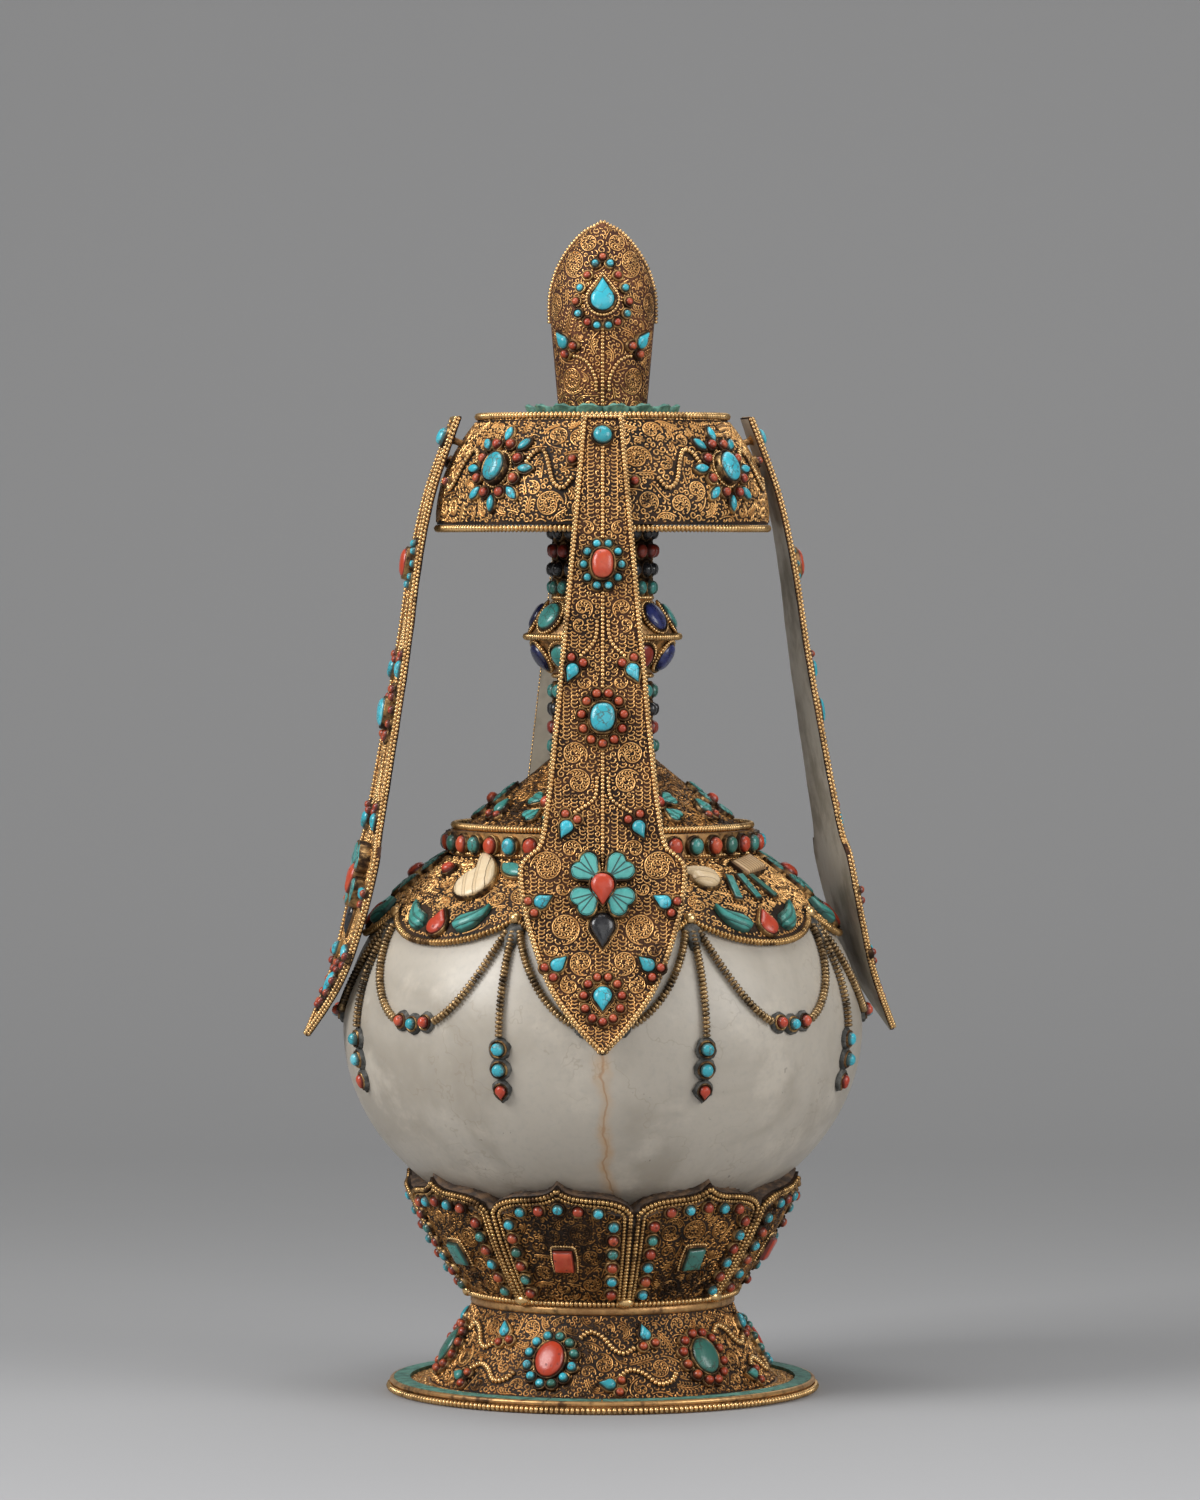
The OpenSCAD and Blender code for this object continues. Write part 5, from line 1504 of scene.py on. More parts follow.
def dress(prefix, body, split, stretch=(1.0, 1.0), test=None, label=""):
    """Stones of one group of CAD nodes; split tells the finish and slot of a stone."""
    chosen = []
    for kind in STONE_KINDS:
        node = prefix + "_" + kind
        group = [g for g in gems.get(node, ()) if test is None or test(g)]
        chosen += group
        parts = {}
        for g in group:
            parts.setdefault(split(kind, g), []).append(g)
        for (finish, slot), part in sorted(parts.items(), key=lambda item: item[0][0].name):
            set_stones(f"{prefix}{label}_{finish.name}_stones", part, body, finish, [node], stretch)
    return chosen


def plain_split(kind, gem):
    """Stones of the lid, and what the other groups share with it."""
    return {"turquoise": (SKY, "turquoise"), "coral": (SMALL_CORAL if gem.size < 4 else CORAL, "coral"),
            "lapis": (LAPIS, "lapis"), "bone": (BONE, "bone")}[kind]


def old_split(kind, gem):
    """Leaves, petals and large stones are of the greener turquoise."""
    if kind == "turquoise" and (gem.lobed or gem.size > 14):
        return CURLED, "turquoise"
    if kind == "turquoise" and (gem.size > 8.2 or rng.uniform() < 0.45) and not 60 < gem.z < GARLAND_TOP:
        return LEAF, "turquoise"
    if kind == "bone" and gem.square:
        return COMB, "bone"
    return plain_split(kind, gem)


def dark_split(kind, gem):
    """Stones of the neck in darker finishes: partly soot from use, partly painted shade of the hat above
    them.
    """
    return {"turquoise": (LEAF, "turquoise"), "coral": (RED, "coral"),
            "lapis": (ONYX if gem.size < 5 else LAPIS, "lapis"), "bone": (BONE, "bone")}[kind]


def lappet_split(kind, gem):
    """The largest coral of the CAD model is a dark stone in the photo."""
    if kind == "coral" and gem.size > 13.2:
        return ONYX, "lapis"
    if kind == "turquoise" and gem.lobed:
        return PETAL, "turquoise"
    return plain_split(kind, gem)


def reseat_stones():
    """Moves, grows and lifts stones of the CAD model to those of the photo."""
    for side in SIDES:
        close_clover(lappets[side], gems[f"lappet_{side}_turquoise"])
        for g in gems[f"lappet_{side}_turquoise"] + gems[f"lappet_{side}_coral"]:
            even = abs(g.outline[:, 1].max() + g.outline[:, 1].min()) < 0.2
            if 9 < g.size < 10.1 and not g.lobed and even:
                fill_out(g, (1.12, 1.06) if g.size < 9.8 else 1.0)
                g.rise = 2.3
            elif 12 < g.size < 13.2:
                g.rise = 2.8
            elif is_drop(g):
                g.grow(1.15)
    foot_stones = gems["foot_turquoise"] + gems["foot_coral"]
    slide_trefoils(foot_stones)
    for g in foot_stones:
        if g.z > cup.z[0] and not g.square:
            g.grow(1.18)
        elif foot_centre(g):
            g.grow(1.1)
            g.rise = 0.9
    for g in gems["shoulder_turquoise"] + gems["shoulder_coral"]:
        if g.z < GARLAND_TOP and g.size > 5.5:
            g.grow(0.84)
        elif g.z > CONE_FLOWER_LOW and g.size > 6:
            g.grow(1.25)
        elif COLLAR_ROW_LOW < g.z < COLLAR_ROW_TOP:
            g.grow(ROW_STRETCH)
    for kind in ("turquoise", "coral", "bone"):
        emblems = [g for g in gems["shoulder_" + kind] if EMBLEM_LOW < g.z < EMBLEM_TOP]
        spread_emblems(mantle, emblems)


reseat_stones()
foot_gems = dress("foot", "vase", old_split)
set_bezels("foot_strips", foot_gems, "vase", ["foot_settings"])
leaves = [g for g in gems["shoulder_turquoise"] if g.size > 14]
set_curls(leaves)
shoulder_gems = dress("shoulder", "vase", old_split, test=lambda g: g.area < 30 or g not in leaves)
set_bezels("shoulder_strips", shoulder_gems, "vase", ["shoulder_settings"])
row_gems = dress("neck", "vase", dark_split, ROW_STRETCH, lambda g: g.size < 5, "_row")
knop_gems = dress("neck", "vase", dark_split, KNOP_STRETCH, lambda g: g.size >= 5, "_knop")
set_bezels("neck_row_strips", row_gems, "vase", ["neck_settings"], ROW_STRETCH)
set_bezels("neck_knop_strips", knop_gems, "vase", ["neck_settings"], KNOP_STRETCH)
for side in (-1, 1):
    gems["lid_turquoise"].append(open_finial_ring(side))
for g in gems["lid_turquoise"] + gems["lid_coral"]:
    if g.size > 10 and not on_finial(g):
        g.rise = 1.9
lid_gems = dress("lid", "lid", plain_split)
set_bezels("lid_strips", lid_gems, "lid", ["lid_settings"])
lappet_gems = {}
for side in SIDES:
    body = "lappet_" + side
    lappet_gems[side] = dress(body, body, lappet_split)
    set_bezels(body + "_strips", lappet_gems[side], body, [body + "_settings"])


def ring_round(gem, by, h=-0.15, stretch=(1.0, 1.0)):
    """Closed line round a stone, away from its outline and above its seat."""
    return gem.place(gem.grown(gem.loop(32) * stretch, by), np.full(32, h)), True


# Lappets


def lappet_lines(lap, stones):
    """Border and edge, then middle line and branches of a lappet, flat."""
    borders = []
    for inset in (0.95, 0.3):
        s = np.linspace(1.2, lap.length - inset, 200)
        right = np.stack([np.maximum(lap.width(s) - inset, 0.0), s], 1)
        borders.append(np.concatenate([[[0, 0.9]], right, right[::-1] * [-1, 1]]))
    spots = [(*lap.spot(g.seat), g) for g in stones]
    flower, second, oval, stud = sorted(h for x, h, g in spots if abs(x) < 0.6 and g.size > 6)[-4:]
    middles = [(stud - 4.2, oval + 9.6), (oval - 9.6, second + 10.9), (second - 10.9, flower + 6.6)]
    lines = [np.stack([np.zeros(24), np.linspace(a, b, 24)], 1) for a, b in middles]
    for x, h, g in spots:
        drop = 5.5 < g.size < 8.2 and not g.lobed and g.area < 21
        if drop and abs(x) > 5 and h > flower + 8:
            k = math.copysign(1, x)
            lines.append(smooth_line([[1.9 * k, h + 17], [2.1 * k, h + 13], [3.4 * k, h + 9.4],
                                      [x - 3.0 * k, h + 5.4]]))
    return borders, lines


def make_back_sheet(lap, body):
    """Dented sheet behind a lappet."""
    rows, columns = 120, 13
    s = np.linspace(0.4, lap.length - 0.2, rows)
    x = np.maximum(lap.width(s) - 0.12, 0.02)[:, None] * np.linspace(-1, 1, columns)
    y = np.repeat(s[:, None], columns, 1)
    dent = 0.06 * np.sin(y / 5.1 + x / 3.3) + 0.05 * np.sin(y / 2.3 - x / 1.9)
    heap = Heap()
    heap.add(lap.bend(np.stack([x, y], -1), -1.32 - np.abs(dent)).reshape(-1, 3),
             ring_faces(rows, columns, False)[:, ::-1])
    heap.make(body + "_back_sheet", body, SILVER)


def on_lappet(grid):
    """Whether a flat place lies inside a lappet's border."""
    x, s = grid[..., 0], grid[..., 1]
    return (np.abs(x) < lappets["front"].width(s) - 1.95) & (s < lappets["front"].length - 2.2)


def dress_lappets():
    """Wires and beads of the lappets, drawn once for the front one and bent over each."""
    front = lappets["front"]
    borders, branches = lappet_lines(front, lappet_gems["front"])
    field = Field((-31, 0), (31, front.length), on_lappet)
    for line in branches:
        field.block_line(line, reach=1.0)
    block_gems(field, lappet_gems["front"], front.spot)
    wires = flat_wires(field, seed=5, finish=GOLD, width=0.48, mirror=True, scales=True,
                       sizes=((5.6, 0.1), (4.6, 0.12), (3.6, 0.1), (2.8, 0.06)))
    for side, lap in lappets.items():
        body = "lappet_" + side
        bend_wires(body + "_filigree", *wires, lap.bend, body, GOLD)
        for label, line, h, d in (("border", borders[0], 0.5, 1.75), ("edge", borders[1], -0.5, 1.4)):
            bent = lap.bend(line, np.full(len(line), h))
            string_beads(f"{body}_{label}_beads", [(bent, True)], body, d=d, pitch=1.42)
        string_beads(body + "_branch_beads", bent_lines(lap.bend, branches, 0.35), body, d=1.6, pitch=1.3)
        mains = [g for g in lappet_gems[side] if g.size > 8.8 and not g.lobed]
        string_beads(body + "_ring_beads", [ring_round(g, by=1.0) for g in mains], body, d=0.85, pitch=0.8)
        make_back_sheet(lap, body)


dress_lappets()

# Hat

HAT_WAVE = np.array([[11.6, 2.4], [13.6, 6.0], [17.2, 6.8], [20.0, 2.0], [22.4, -4.6], [25.8, -7.0],
                     [28.8, -3.6]])


def dress_hat():
    """Ropes, bead waves and wires of the hat band."""
    ropes = [circle_line(r, z) for r, z, _ in ring_sizes("hat_ropes")]
    string_beads("hat_rope_beads", ropes, "lid", d=2.7, pitch=1.6, stands_for=["hat_ropes"])
    stones = [g for g in lid_gems if not on_finial(g)]
    flowers = [g for g in stones if g.size > 10]
    waves = []
    for g in flowers:
        for k in (-1, 1):
            path = smooth_line(HAT_WAVE * [k, 1])
            turn = path[:, 0] / math.hypot(g.seat[0], g.seat[1])
            waves.append(hat.flat(g.az + turn, hat.along(g.z) + path[:, 1]))
    string_beads("hat_wave_beads", bent_lines(hat.bend, waves, 0.7), "lid", d=1.9, pitch=1.3)
    string_beads("hat_ring_beads", [ring_round(g, by=1.15) for g in flowers], "lid", d=1.25, pitch=1.15)
    field = wall_field(hat, margin_low=0.8, margin_high=0.8)
    block_gems(field, stones, hat.spot)
    for p in waves:
        field.block_line(p, reach=1.45)
    lay_filigree("hat_filigree", field, hat.bend, "lid", GOLD, seed=11)


dress_hat()

# Finial

FINIAL_BRANCH = np.array([[2.3, 7], [2.5, 11], [5.2, 16.2], [8.6, 18.4], [10.4, 18.7]])


def bead_finial():
    """Beads along the seam of the two leaves and round the finial's foot."""
    z = np.linspace(LEAF_Z, FINIAL_Z[-1], 40)
    seam = np.stack([np.interp(z, FINIAL_Z, FINIAL_W) + 0.35, np.zeros(40), z], 1)
    seam[-3:, 0] *= (0.9, 0.75, 0.4)
    line = np.concatenate([seam, seam[::-1] * [-1, 1, 1]])
    string_beads("finial_seam_beads", [(line, False)], "lid", d=1.9, pitch=1.25, stands_for=["finial_rope"])
    foot_line = circle_line(FINIAL_W[0] + 0.3, FINIAL_Z[0] + 0.7, 90)
    string_beads("finial_foot_beads", [foot_line], "lid", d=1.5, pitch=1.2)


def on_leaf(grid):
    """Whether a flat place lies on a leaf of the finial."""
    return np.abs(grid[..., 0]) < np.interp(grid[..., 1], FINIAL_Z, FINIAL_W) * 1.46 - 1.0


def dress_leaf(label, side):
    """Beads and wires of one leaf of the finial."""
    here = [g for g in lid_gems if on_finial(g) and g.seat[1] * side > 0.5]
    drop = max(here, key=lambda g: g.size * (g.z > LEAF_Z))
    bend = finial_leaf(side)
    low = FINIAL_Z[0]
    lines = [np.stack([np.zeros(20), np.linspace(low + 2, drop.z - 11.0, 20)], 1)]
    lines += [smooth_line(FINIAL_BRANCH * [k, 1] + [0, low]) for k in (-1, 1)]
    string_beads(f"finial_{label}_branch_beads", bent_lines(bend, lines, 0.35), "lid", d=1.5, pitch=1.25)
    string_beads(f"finial_{label}_ring_beads", [ring_round(drop, by=1.5, h=0.1)], "lid", d=1.25, pitch=1.15)

    def spot(point):
        wide = np.interp(point[..., 2], FINIAL_Z, FINIAL_W)
        return np.stack([-side * wide * np.arcsin(np.clip(point[..., 0] / wide, -1, 1)), point[..., 2]], -1)

    field = Field((-28, low + 0.8), (28, FINIAL_Z[-1] - 2.5), on_leaf)
    for p in lines:
        field.block_line(p, reach=1.0)
    block_gems(field, here, spot)
    block_gems(field, [drop], spot, room=2.4)
    lay_filigree(f"finial_{label}_filigree", field, bend, "lid", GOLD, seed=21 + side, width=0.47,
                 mirror=True, sizes=((5.4, 0.2), (4.2, 0.2), (3.1, 0.1)))


bead_finial()
dress_leaf("front", -1)
dress_leaf("back", 1)

# Lotus ring and hat top

LOTUS_ROWS = ((0.0, 0.0), (0.86, 0.02), (0.97, 0.7), (1.02, 1.35), (0.98, 1.52), (0.9, 1.3), (0.8, 1.02),
              (0.7, 1.1), (0.6, 0.96), (0.4, 1.0))
HAT_TOP_R = 41.5
lotus_low, lotus_high = corners("lotus_ring")


def make_lotus_ring():
    """Ring of leaves, with veins and raised edges, round the finial's foot."""
    lobes, hole_r = 16, 9.4
    z, tall = lotus_low[2], lotus_high[2] - lotus_low[2]
    n = lobes * 14
    a = turns(n)
    part = np.abs(np.sin(a * lobes / 2))
    out = lotus_high[0] - 3.2 * (1 - part ** 0.7)
    rows = []
    for share, level in LOTUS_ROWS:
        far = hole_r + (out - hole_r) * share
        vein = 0.22 * np.cos(a * lobes * 3) * (0.65 < share < 1.0) + 1.3 * (part - 0.6) * (share > 0.75)
        lift = level + vein / tall * (level > 0.1)
        rows.append(np.stack([far * np.cos(a), far * np.sin(a), z + tall * lift], 1))
    heap = Heap()
    heap.add(np.concatenate(rows), ring_faces(len(rows), n))
    heap.make("lotus_leaf_ring", "lid", VERDIGRIS, ["lotus_ring"], corner=60)


make_lotus_ring()
lay_filigree("hat_top_filigree", ring_field(lotus_high[0] + 0.6, HAT_TOP_R, 42),
             level_bend(corners("hat_top")[1][2]), "lid", GOLD, seed=31)

# Neck, cone and collar

collar_low, collar_high = corners("collar_band")


def dress_neck():
    """Ropes and rings of beads from the collar to the neck's mouth, and the wires of the cone."""
    ropes = [circle_line(r, z) for r, z, _ in ring_sizes("neck_ropes")]
    string_beads("neck_rope_beads", ropes, "vase", d=2.6, pitch=1.35, stands_for=["neck_ropes"])
    collar_foot = circle_line(collar_high[0] + 0.5, collar_low[2] + 1.0)
    string_beads("collar_foot_beads", [collar_foot], "vase", d=1.5, pitch=1.3)
    neck_r = corners("lower_neck")[1][0] + 1.2
    knop_low, knop_high = corners("neck_knop")
    collars = ((neck_r, knop_low[2] - 0.6), (neck_r, knop_high[2] + 0.6),
               (cone.r[-1] + 0.5, cone.z[-1] + 0.7))
    string_beads("neck_collar_beads", [circle_line(r, z, 90) for r, z in collars], "vase", d=1.7, pitch=1.4)
    knop_rings = [ring_round(g, by=1.2, h=0.2, stretch=KNOP_STRETCH) for g in knop_gems]
    string_beads("knop_ring_beads", knop_rings, "vase", d=1.3, pitch=1.15)
    field = wall_field(cone, margin_low=1.6, margin_high=0.6)
    block_gems(field, [g for g in shoulder_gems if g.z > cone.z[0]], cone.spot)
    # The cone's wires take the darker copy of the gilt: painted shade.
    lay_filigree("cone_filigree", field, cone.bend, "vase", SHADED_GOLD, seed=41)


dress_neck()

# Mantle and garlands

EDGE_POINTS = 96
EDGE_STEP = 360 / EDGE_POINTS
CHAIN_LIFT = 1.15
CUP_ROWS = ((1.7, -0.75), (1.55, -0.1), (1.1, 0.55), (0.45, 0.75))
LAC_ROWS = ((1.0, -0.3), (0.92, 0.9), (0.7, 1.7), (0.35, 2.1))
MANTLE_STUD = ((0.9, 2.2), (1.4, 2.1), (1.9, 1.75), (2.4, 1.05))


def rope_line():
    """Even points along the middle of the mantle's rope, from the front."""
    points = read("mantle_rope")[0]
    turn = np.degrees(np.arctan2(points[:, 1], points[:, 0]))
    station = np.round((turn + 90) / EDGE_STEP).astype(int) % EDGE_POINTS
    return np.array([points[station == k].mean(0) for k in range(EDGE_POINTS)])


edge = rope_line()
edge_az = FRONT + np.arange(EDGE_POINTS + 1) * math.radians(EDGE_STEP)
edge_z = np.append(edge[:, 2], edge[0, 2])
cusps = edge[6::12]


def over_edge(turn, s):
    """Whether a place of the mantle lies between its rope and the collar."""
    low = np.interp((turn + FULL) % FULL + FRONT, edge_az, edge_z) + 1.9
    return (mantle.height(s) > low) & (mantle.radius(s) > collar_high[0] + 0.4)


def dress_mantle():
    """Rope and wires of the mantle."""
    string_beads("mantle_rope_beads", [(edge, True)], "vase", d=2.6, pitch=1.45, finish=DARK_BEAD,
                 stands_for=["mantle_rope"])
    field = wall_field(mantle, margin_low=0.2, margin_high=0.2, inside=over_edge)
    stones = [g for g in shoulder_gems
              if edge_z.min() - 3 < g.z < collar_low[2] and math.hypot(*g.seat[:2]) > 54]
    block_gems(field, stones + leaves, mantle.spot)
    lay_filigree("mantle_filigree", field, mantle.bend, "vase", GOLD, seed=51, width=0.45)


def chain_line(points):
    """Middle line of a chain of the garlands on the stone: a pendant hangs straight, a swag in a bow."""
    middle = math.atan2(points[:, 1].mean(), points[:, 0].mean())
    off = (np.arctan2(points[:, 1], points[:, 0]) - middle + math.pi) % FULL - math.pi
    low, high = points[:, 2].min() + 0.6, points[:, 2].max() - 0.6
    if off.max() - off.min() < 0.1:
        return on_belly(np.full(24, middle), np.linspace(high, low, 24), CHAIN_LIFT)
    ends = points[np.argmin(points[:, 2])], points[np.argmax(points[:, 2])]
    start, end = (math.atan2(p[1], p[0]) for p in ends)
    span = (end - start + math.pi) % FULL - math.pi
    t = np.linspace(0, 1, 40)
    near, bow = 0.28, 2.2
    z = low + (high - low) * (((near + (1 - near) * t) ** bow - near ** bow) / (1 - near ** bow))
    return on_belly(start + span * t, z, CHAIN_LIFT)


def hang_garlands():
    """Chains of the garlands and the lumpy cups of their stones."""
    chains = [(chain_line(points), False) for points, _ in islands("garland_chains")]
    string_beads("garland_beads", chains, "vase", d=3.05, pitch=1.45, finish=BRONZE,
                 stands_for=["garland_chains"])
    heap = Heap()
    n = 20
    for g in [g for g in shoulder_gems if g.z < GARLAND_TOP]:
        ring = g.loop(n)
        lumps = 1 + rng.normal(0, 0.05, (len(CUP_ROWS), n))
        rows = [g.place(g.grown(ring, by) * lump[:, None], h + rng.normal(0, 0.06, n))
                for (by, h), lump in zip(CUP_ROWS, lumps)]
        heap.add(np.concatenate(rows), ring_faces(len(rows), n))
    heap.make("garland_cups", "vase", SOOT, corner=80)


def add_stud(heap, centre, out, side, up, profile, tip, n):
    """Adds a knob of (height, radius) rings, closed at a tip."""
    a = turns(n)[:, None]
    rows = [centre + out * h + r * (np.cos(a) * side + np.sin(a) * up) for h, r in profile]
    heap.add(np.concatenate(rows + [(centre + out * tip)[None]]), *domed_faces(len(rows), n))


def dress_cusps():
    """Studs on the cusps of the mantle's rope and lumps of lac under them."""
    heap = Heap()
    for cusp in cusps:
        out = unit(cusp * [1, 1, 0.35])
        side = unit(np.cross([0, 0, 1.0], out))
        add_stud(heap, cusp, out, side, np.cross(out, side), MANTLE_STUD, tip=2.7, n=14)
    heap.make("mantle_studs", "vase", BEAD, corner=80)
    heap = Heap()
    n, half_wide, half_tall = 18, 3.4, 5.0
    a = turns(n)
    for i, cusp in enumerate(cusps):
        az, z = math.atan2(cusp[1], cusp[0]), cusp[2] - 5.4
        lumps = 1 + 0.16 * np.sin(3 * a + i) + rng.normal(0, 0.08, n)
        rows = []
        for share, lift in LAC_ROWS:
            wide, tall = half_wide * share * lumps * np.cos(a), half_tall * share * lumps * np.sin(a)
            rows.append(on_belly(az + wide / belly_r(z), z + tall, lift + rng.normal(0, 0.12, n)))
        heap.add(np.concatenate(rows + [on_belly(az, np.array([z]), 2.2)]), *domed_faces(len(rows), n))
    heap.make("cusp_lac", "vase", SOOT, corner=80)


dress_mantle()
hang_garlands()
dress_cusps()

# Lotus cup

CREST_STEPS = 80
JOINT_STUD = ((0.0, 2.4), (0.9, 2.35), (1.7, 1.9), (2.2, 1.0))
blocks = [g for g in foot_gems if g.square and g.z > cup.z[0]]
petal_az = sorted(g.az for g in blocks)
HALF = math.pi / len(petal_az)


def crest_levels():
    """Heights of the petals' edge at even steps over one petal, from its middle."""
    points = read("lotus_cup")[0]
    far = np.hypot(points[:, 0], points[:, 1])
    outer = points[np.abs(far - np.interp(points[:, 2], cup.z, cup.r)) < 0.12]
    share = (np.arctan2(outer[:, 1], outer[:, 0]) - petal_az[0]) % (2 * HALF) / (2 * HALF)
    bins = np.round(share * CREST_STEPS).astype(int) % CREST_STEPS
    known = np.unique(bins)
    top = [outer[bins == k, 2].max() for k in known]
    return np.interp(np.arange(CREST_STEPS + 1), np.append(known, CREST_STEPS), np.append(top, top[0]))


CREST = crest_levels()


def crest_z(off):
    """Height of the petals' edge at an angle from a petal's middle."""
    share = (np.asarray(off) % (2 * HALF)) / (2 * HALF)
    return np.interp(share * CREST_STEPS, np.arange(CREST_STEPS + 1), CREST)


def petal_line(inset, low):
    """Line inside a petal's edge, as (angle from its middle, place along the wall)."""
    mid_r = cup.r.mean()
    rise = np.linspace(low - 3, cup.along(crest_z(HALF)), 120)
    off = np.linspace(HALF, -HALF, 400)
    side = np.stack([HALF * cup.radius(rise), rise], 1)
    crown = cup.along(crest_z(off))
    edge = np.concatenate([side, np.stack([off * cup.radius(crown), crown], 1), side[::-1] * [-1, 1]])
    edge[:, 0] = edge[:, 0] / cup.radius(edge[:, 1]) * mid_r
    along = unit(np.gradient(edge, axis=0) + 1e-9)
    moved = edge + inset * np.stack([-along[:, 1], along[:, 0]], 1)
    gap = np.linalg.norm(moved[:, None] - edge[None], axis=2).min(1)
    kept = moved[(gap > inset - 0.06) & (moved[:, 1] > low)]
    return np.stack([kept[:, 0] / mid_r, kept[:, 1]], 1)


def in_petal(turn, s):
    """Whether a place of the cup lies inside a petal's bead rows."""
    off = (turn + FRONT - petal_az[0] + HALF) % (2 * HALF) - HALF
    side = HALF - 4.2 / cup.radius(s)
    return (np.abs(off) < side) & (s < cup.along(crest_z(off)) - 4.0)


def dress_cup():
    """Bead rows, wires and studs of the petals."""
    rows = {"outer": (petal_line(1.15, 1.4), 2.0, 1.45, 0.6),
            "inner": (petal_line(3.0, 1.6), 1.55, 1.25, 0.35)}
    for label, (path, d, pitch, h) in rows.items():
        lines = [(cup.place(az + path[:, 0], path[:, 1], np.full(len(path), h)), False) for az in petal_az]
        string_beads(f"petal_{label}_beads", lines, "vase", d=d, pitch=pitch, finish=DARK_BEAD)
    string_beads("cup_foot_beads", [circle_line(cup.r[0] + 1.6, cup.z[0] + 1.0)], "vase", d=2.3, pitch=1.6)
    field = wall_field(cup, margin_low=2.6, margin_high=0.1, inside=in_petal)
    block_gems(field, [g for g in foot_gems if g.z > cup.z[0]], cup.spot)
    # The cup's wires take the darker copy of the gilt: painted shade of the downward-facing cup.
    lay_filigree("cup_filigree", field, cup.bend, "vase", SHADED_GOLD, seed=61)
    string_beads("cup_ring_beads", [ring_round(g, by=1.1) for g in blocks], "vase", d=1.1, pitch=1.0)
    heap = Heap()
    for az in petal_az:
        c, s = math.cos(az + HALF), math.sin(az + HALF)
        out, side = np.array([c, s, -0.1]), np.array([-s, c, 0])
        add_stud(heap, cup.place(az + HALF, 2.4, 0.4), out, side * 1.25, np.cross(out, side) * 0.85,
                 JOINT_STUD, tip=2.35, n=16)
    heap.make("petal_joint_studs", "vase", BEAD, corner=80)


def make_lac_seam():
    """Rough lac between the petals' edge and the stone."""
    n = 384
    a = turns(n)
    top = crest_z(a - petal_az[0])
    wall_r = np.interp(top, cup.z, cup.r)
    rows = ((belly_r(top + 1.6) - 0.3, top + 1.5), (belly_r(top + 1.0) + 0.7, top + 1.1),
            (wall_r - 1.1, top + 0.35), (wall_r - 1.0, top - 0.8), (wall_r - 1.6, top - 5.0))
    rough = rng.normal(0, 0.18, (len(rows), n))
    rings = [np.stack([(r + k) * np.cos(a), (r + k) * np.sin(a), z + k * 0.8], 1)
             for (r, z), k in zip(rows, rough)]
    heap = Heap()
    heap.add(np.concatenate(rings), ring_faces(len(rows), n)[:, ::-1])
    heap.make("lac_seam", "vase", LAC)


dress_cup()
make_lac_seam()

# Foot and base

FOOT_WAVES = (((0.18, 8.6), (0.24, 10.8), (0.325, 8.8), (0.4, 4.2), (0.465, 2.8), (0.525, 4.6)),
              ((0.43, -5.6), (0.49, -3.4), (0.57, -4.8), (0.65, -9.0), (0.73, -8.2), (0.77, -5.6)))
waist, rim_rope = sorted(ring_sizes("foot_ropes"), key=lambda ring: ring[0])


def dress_foot():
    """Bead waves and wires of the foot, and the band at its waist."""
    stones = [g for g in foot_gems if g.z < cup.z[0]]
    centres = sorted((g for g in stones if foot_centre(g)), key=lambda g: g.az)
    waves = []
    for g in centres:
        for path in FOOT_WAVES:
            p = smooth_line(path)
            waves.append(foot.flat(g.az + p[:, 0] * FULL / len(centres), foot.along(g.z) + p[:, 1]))
    string_beads("foot_wave_beads", bent_lines(foot.bend, waves, 0.55), "vase", d=2.2, pitch=1.35)
    string_beads("foot_ring_beads", [ring_round(g, by=1.1) for g in centres], "vase", d=1.1, pitch=1.0)
    field = wall_field(foot, margin_low=0.4, margin_high=0.2)
    block_gems(field, stones, foot.spot)
    for p in waves:
        field.block_line(p, reach=1.5)
    lay_filigree("foot_filigree", field, foot.bend, "vase", DARK_GOLD, seed=71)
    r, z, wide = waist
    out = r + wide / 2
    profile = ((r - 2, z - 1.6), (out + 0.1, z - 1.5), (out + 0.75, z - 0.8), (out + 0.75, z + 0.7),
               (out + 0.2, z + 1.5), (r - 2, z + 1.6))
    heap = Heap()
    heap.add(*lathe(profile))
    heap.make("waist_band", "vase", SHEET, ["foot_ropes"], corner=50)


def dress_base():
    """Beads and wires of the base plate."""
    string_beads("base_rim_beads", [circle_line(rim_rope[0] + 0.1, 1.45, 240)], "vase", d=2.5, pitch=1.8,
                 stands_for=["foot_ropes"], length=1.6)
    inlay_low, inlay_high = corners("base_inlay")
    wire_r = 0.95
    around = np.linspace(-math.pi / 2, math.pi * 1.5, 13)
    profile = [(inlay_high[0] + 0.55 + wire_r * math.cos(t), inlay_high[2] - 1.1 + wire_r * math.sin(t))
               for t in around]
    heap = Heap()
    heap.add(*lathe(profile, 160))
    heap.make("base_edge_wire", "vase", SHEET)
    field = ring_field(foot.r[0] + 0.7, -inlay_low[0] - 5.9, 69)
    lay_filigree("base_filigree", field, level_bend(corners("base_plate")[1][2]), "vase", GOLD, seed=81,
                 sizes=((2.4, 0.1),))


dress_foot()
dress_base()

# Finishes of the CAD nodes that stay

KEPT = {"base_plate": SHEET, "base_inlay": VERDIGRIS, "foot": GROUND, "lotus_cup": GROUND, "cement_bed": LAC,
        "shoulder_mantle": GROUND, "collar_band": SHEET, "shoulder_cone": GROUND, "lower_neck": GROUND,
        "neck_knop": SHEET, "upper_neck": GROUND, "neck_liner": SHEET, "hat_band": GROUND, "hat_top": GROUND,
        "lid_plug": WOOD}
for side in SIDES:
    KEPT[f"lappet_{side}_plate"] = WARM_GROUND
    KEPT[f"lappet_{side}_pin"] = SHEET
for name, finish in KEPT.items():
    nodes[name].data.materials.clear()
    nodes[name].data.materials.append(finish)

# Stage, light and camera

VASE_MIDDLE = (0, 0, 0.24)
FOCAL_PIXELS = 6871
PHOTO_PIXELS = 1500
SENSOR_WIDE = 36
PITCH_DOWN = 1.748


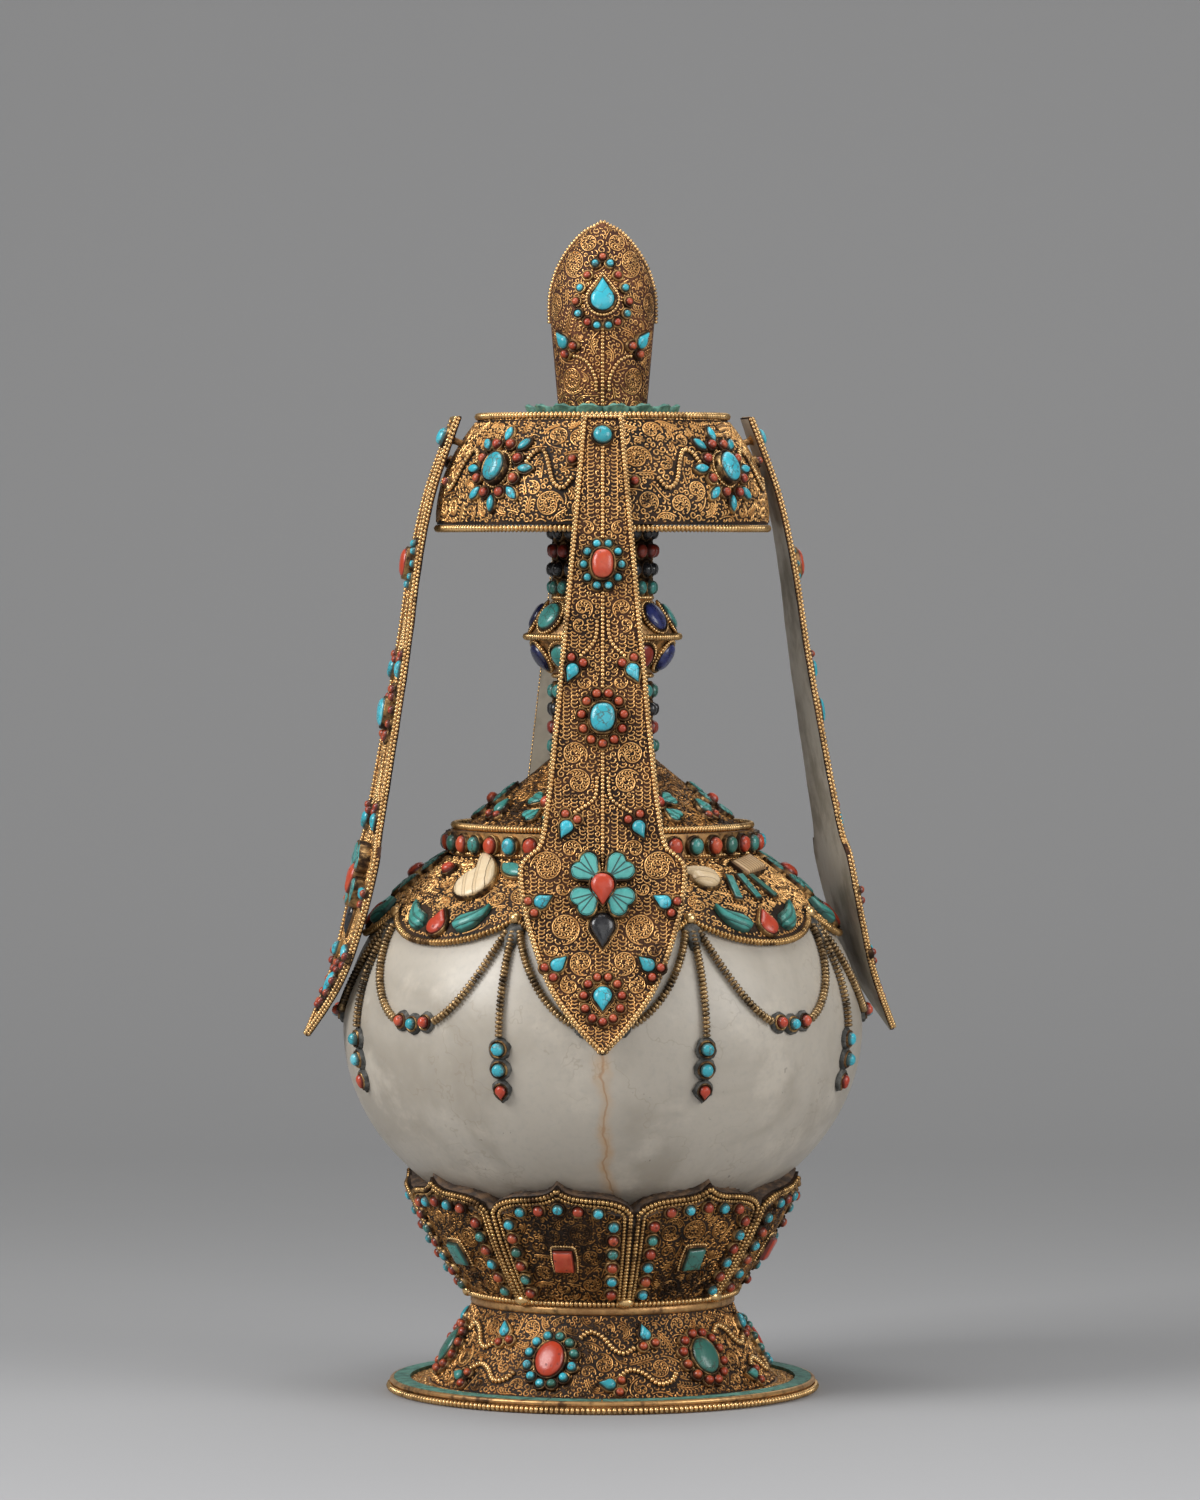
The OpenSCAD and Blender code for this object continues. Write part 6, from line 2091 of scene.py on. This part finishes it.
def backdrop():
    """Floor that sweeps up into a wall behind the vase, in metres."""
    floor_end, sweep_r = 0.9, 0.9
    sweep = np.linspace(0.05, math.pi / 2, 24)
    y = np.concatenate([np.linspace(-3.2, floor_end, 24), floor_end + sweep_r * np.sin(sweep),
                        np.full(6, floor_end + sweep_r)])
    z = np.concatenate([np.zeros(24), sweep_r - sweep_r * np.cos(sweep), np.linspace(1.2, 3.4, 6)])
    x = np.array([-4.0, -2.0, 0.0, 2.0, 4.0])
    grid = np.stack(np.broadcast_arrays(x[None], y[:, None], z[:, None]), -1)
    mesh = mesh_of("backdrop", grid.reshape(-1, 3) / MM, ring_faces(len(y), len(x), False),
                   np.zeros((0, 3), int))
    f = Finish("grey_paper")
    # Painted light: the paper is lighter at the front and darker towards the wall, standing in for the
    # falloff of the lamps' light.
    colour = f.blend((0.44, 0.44, 0.45), (0.226, 0.226, 0.227), f.shape(f.axis("Y"), -0.95, 0.7))
    behind = f.add("ShaderNodeNewGeometry", output="Backfacing")
    mesh.materials.append(f.surface(colour, 0.8 + 0.05 * f.noise(40), 0.0, f.noise(3), 0.02, behind))
    sheet = bpy.data.objects.new("backdrop", mesh)
    bpy.context.scene.collection.objects.link(sheet)


def lamp(name, place, aim, size, power):
    """Area lamp turned to a point."""
    data = bpy.data.lights.new(name, "AREA")
    data.shape = "RECTANGLE"
    data.size, data.size_y = size
    data.energy = power
    made = bpy.data.objects.new(name, data)
    bpy.context.scene.collection.objects.link(made)
    made.location = place
    x, y, z = np.array(aim) - np.array(place)
    made.rotation_euler = (math.atan2(math.hypot(x, y), -z), 0, math.atan2(-x, y))


backdrop()
lamp("key_left", (-1.75, -0.95, 1.5), VASE_MIDDLE, (1.1, 1.3), 52)
lamp("fill_right", (1.85, -1.15, 1.1), VASE_MIDDLE, (1.3, 1.4), 28)
lamp("top", (0.0, -0.1, 2.2), (0, 0, 0.1), (1.3, 1.0), 20)
lamp("front", (0.5, -3.0, 1.05), VASE_MIDDLE, (2.8, 1.6), 15)
lamp("back", (0.5, 1.5, 1.3), VASE_MIDDLE, (1.2, 1.0), 3.5)

world = bpy.data.worlds.new("studio")
bpy.context.scene.world = world
world.use_nodes = True
sky = world.node_tree.nodes["Background"].inputs
sky["Color"].default_value = (0.5, 0.5, 0.51, 1)
sky["Strength"].default_value = 0.3

camera = bpy.data.objects.new("camera", bpy.data.cameras.new("camera"))
bpy.context.scene.collection.objects.link(camera)
camera.data.sensor_width = SENSOR_WIDE
camera.data.lens = FOCAL_PIXELS / PHOTO_PIXELS * SENSOR_WIDE
camera.location = (-0.0009, -2.4, 0.297)
camera.rotation_euler = (math.radians(90 - PITCH_DOWN), 0, 0)
bpy.context.scene.camera = camera
bpy.context.scene.view_settings.view_transform = "Standard"
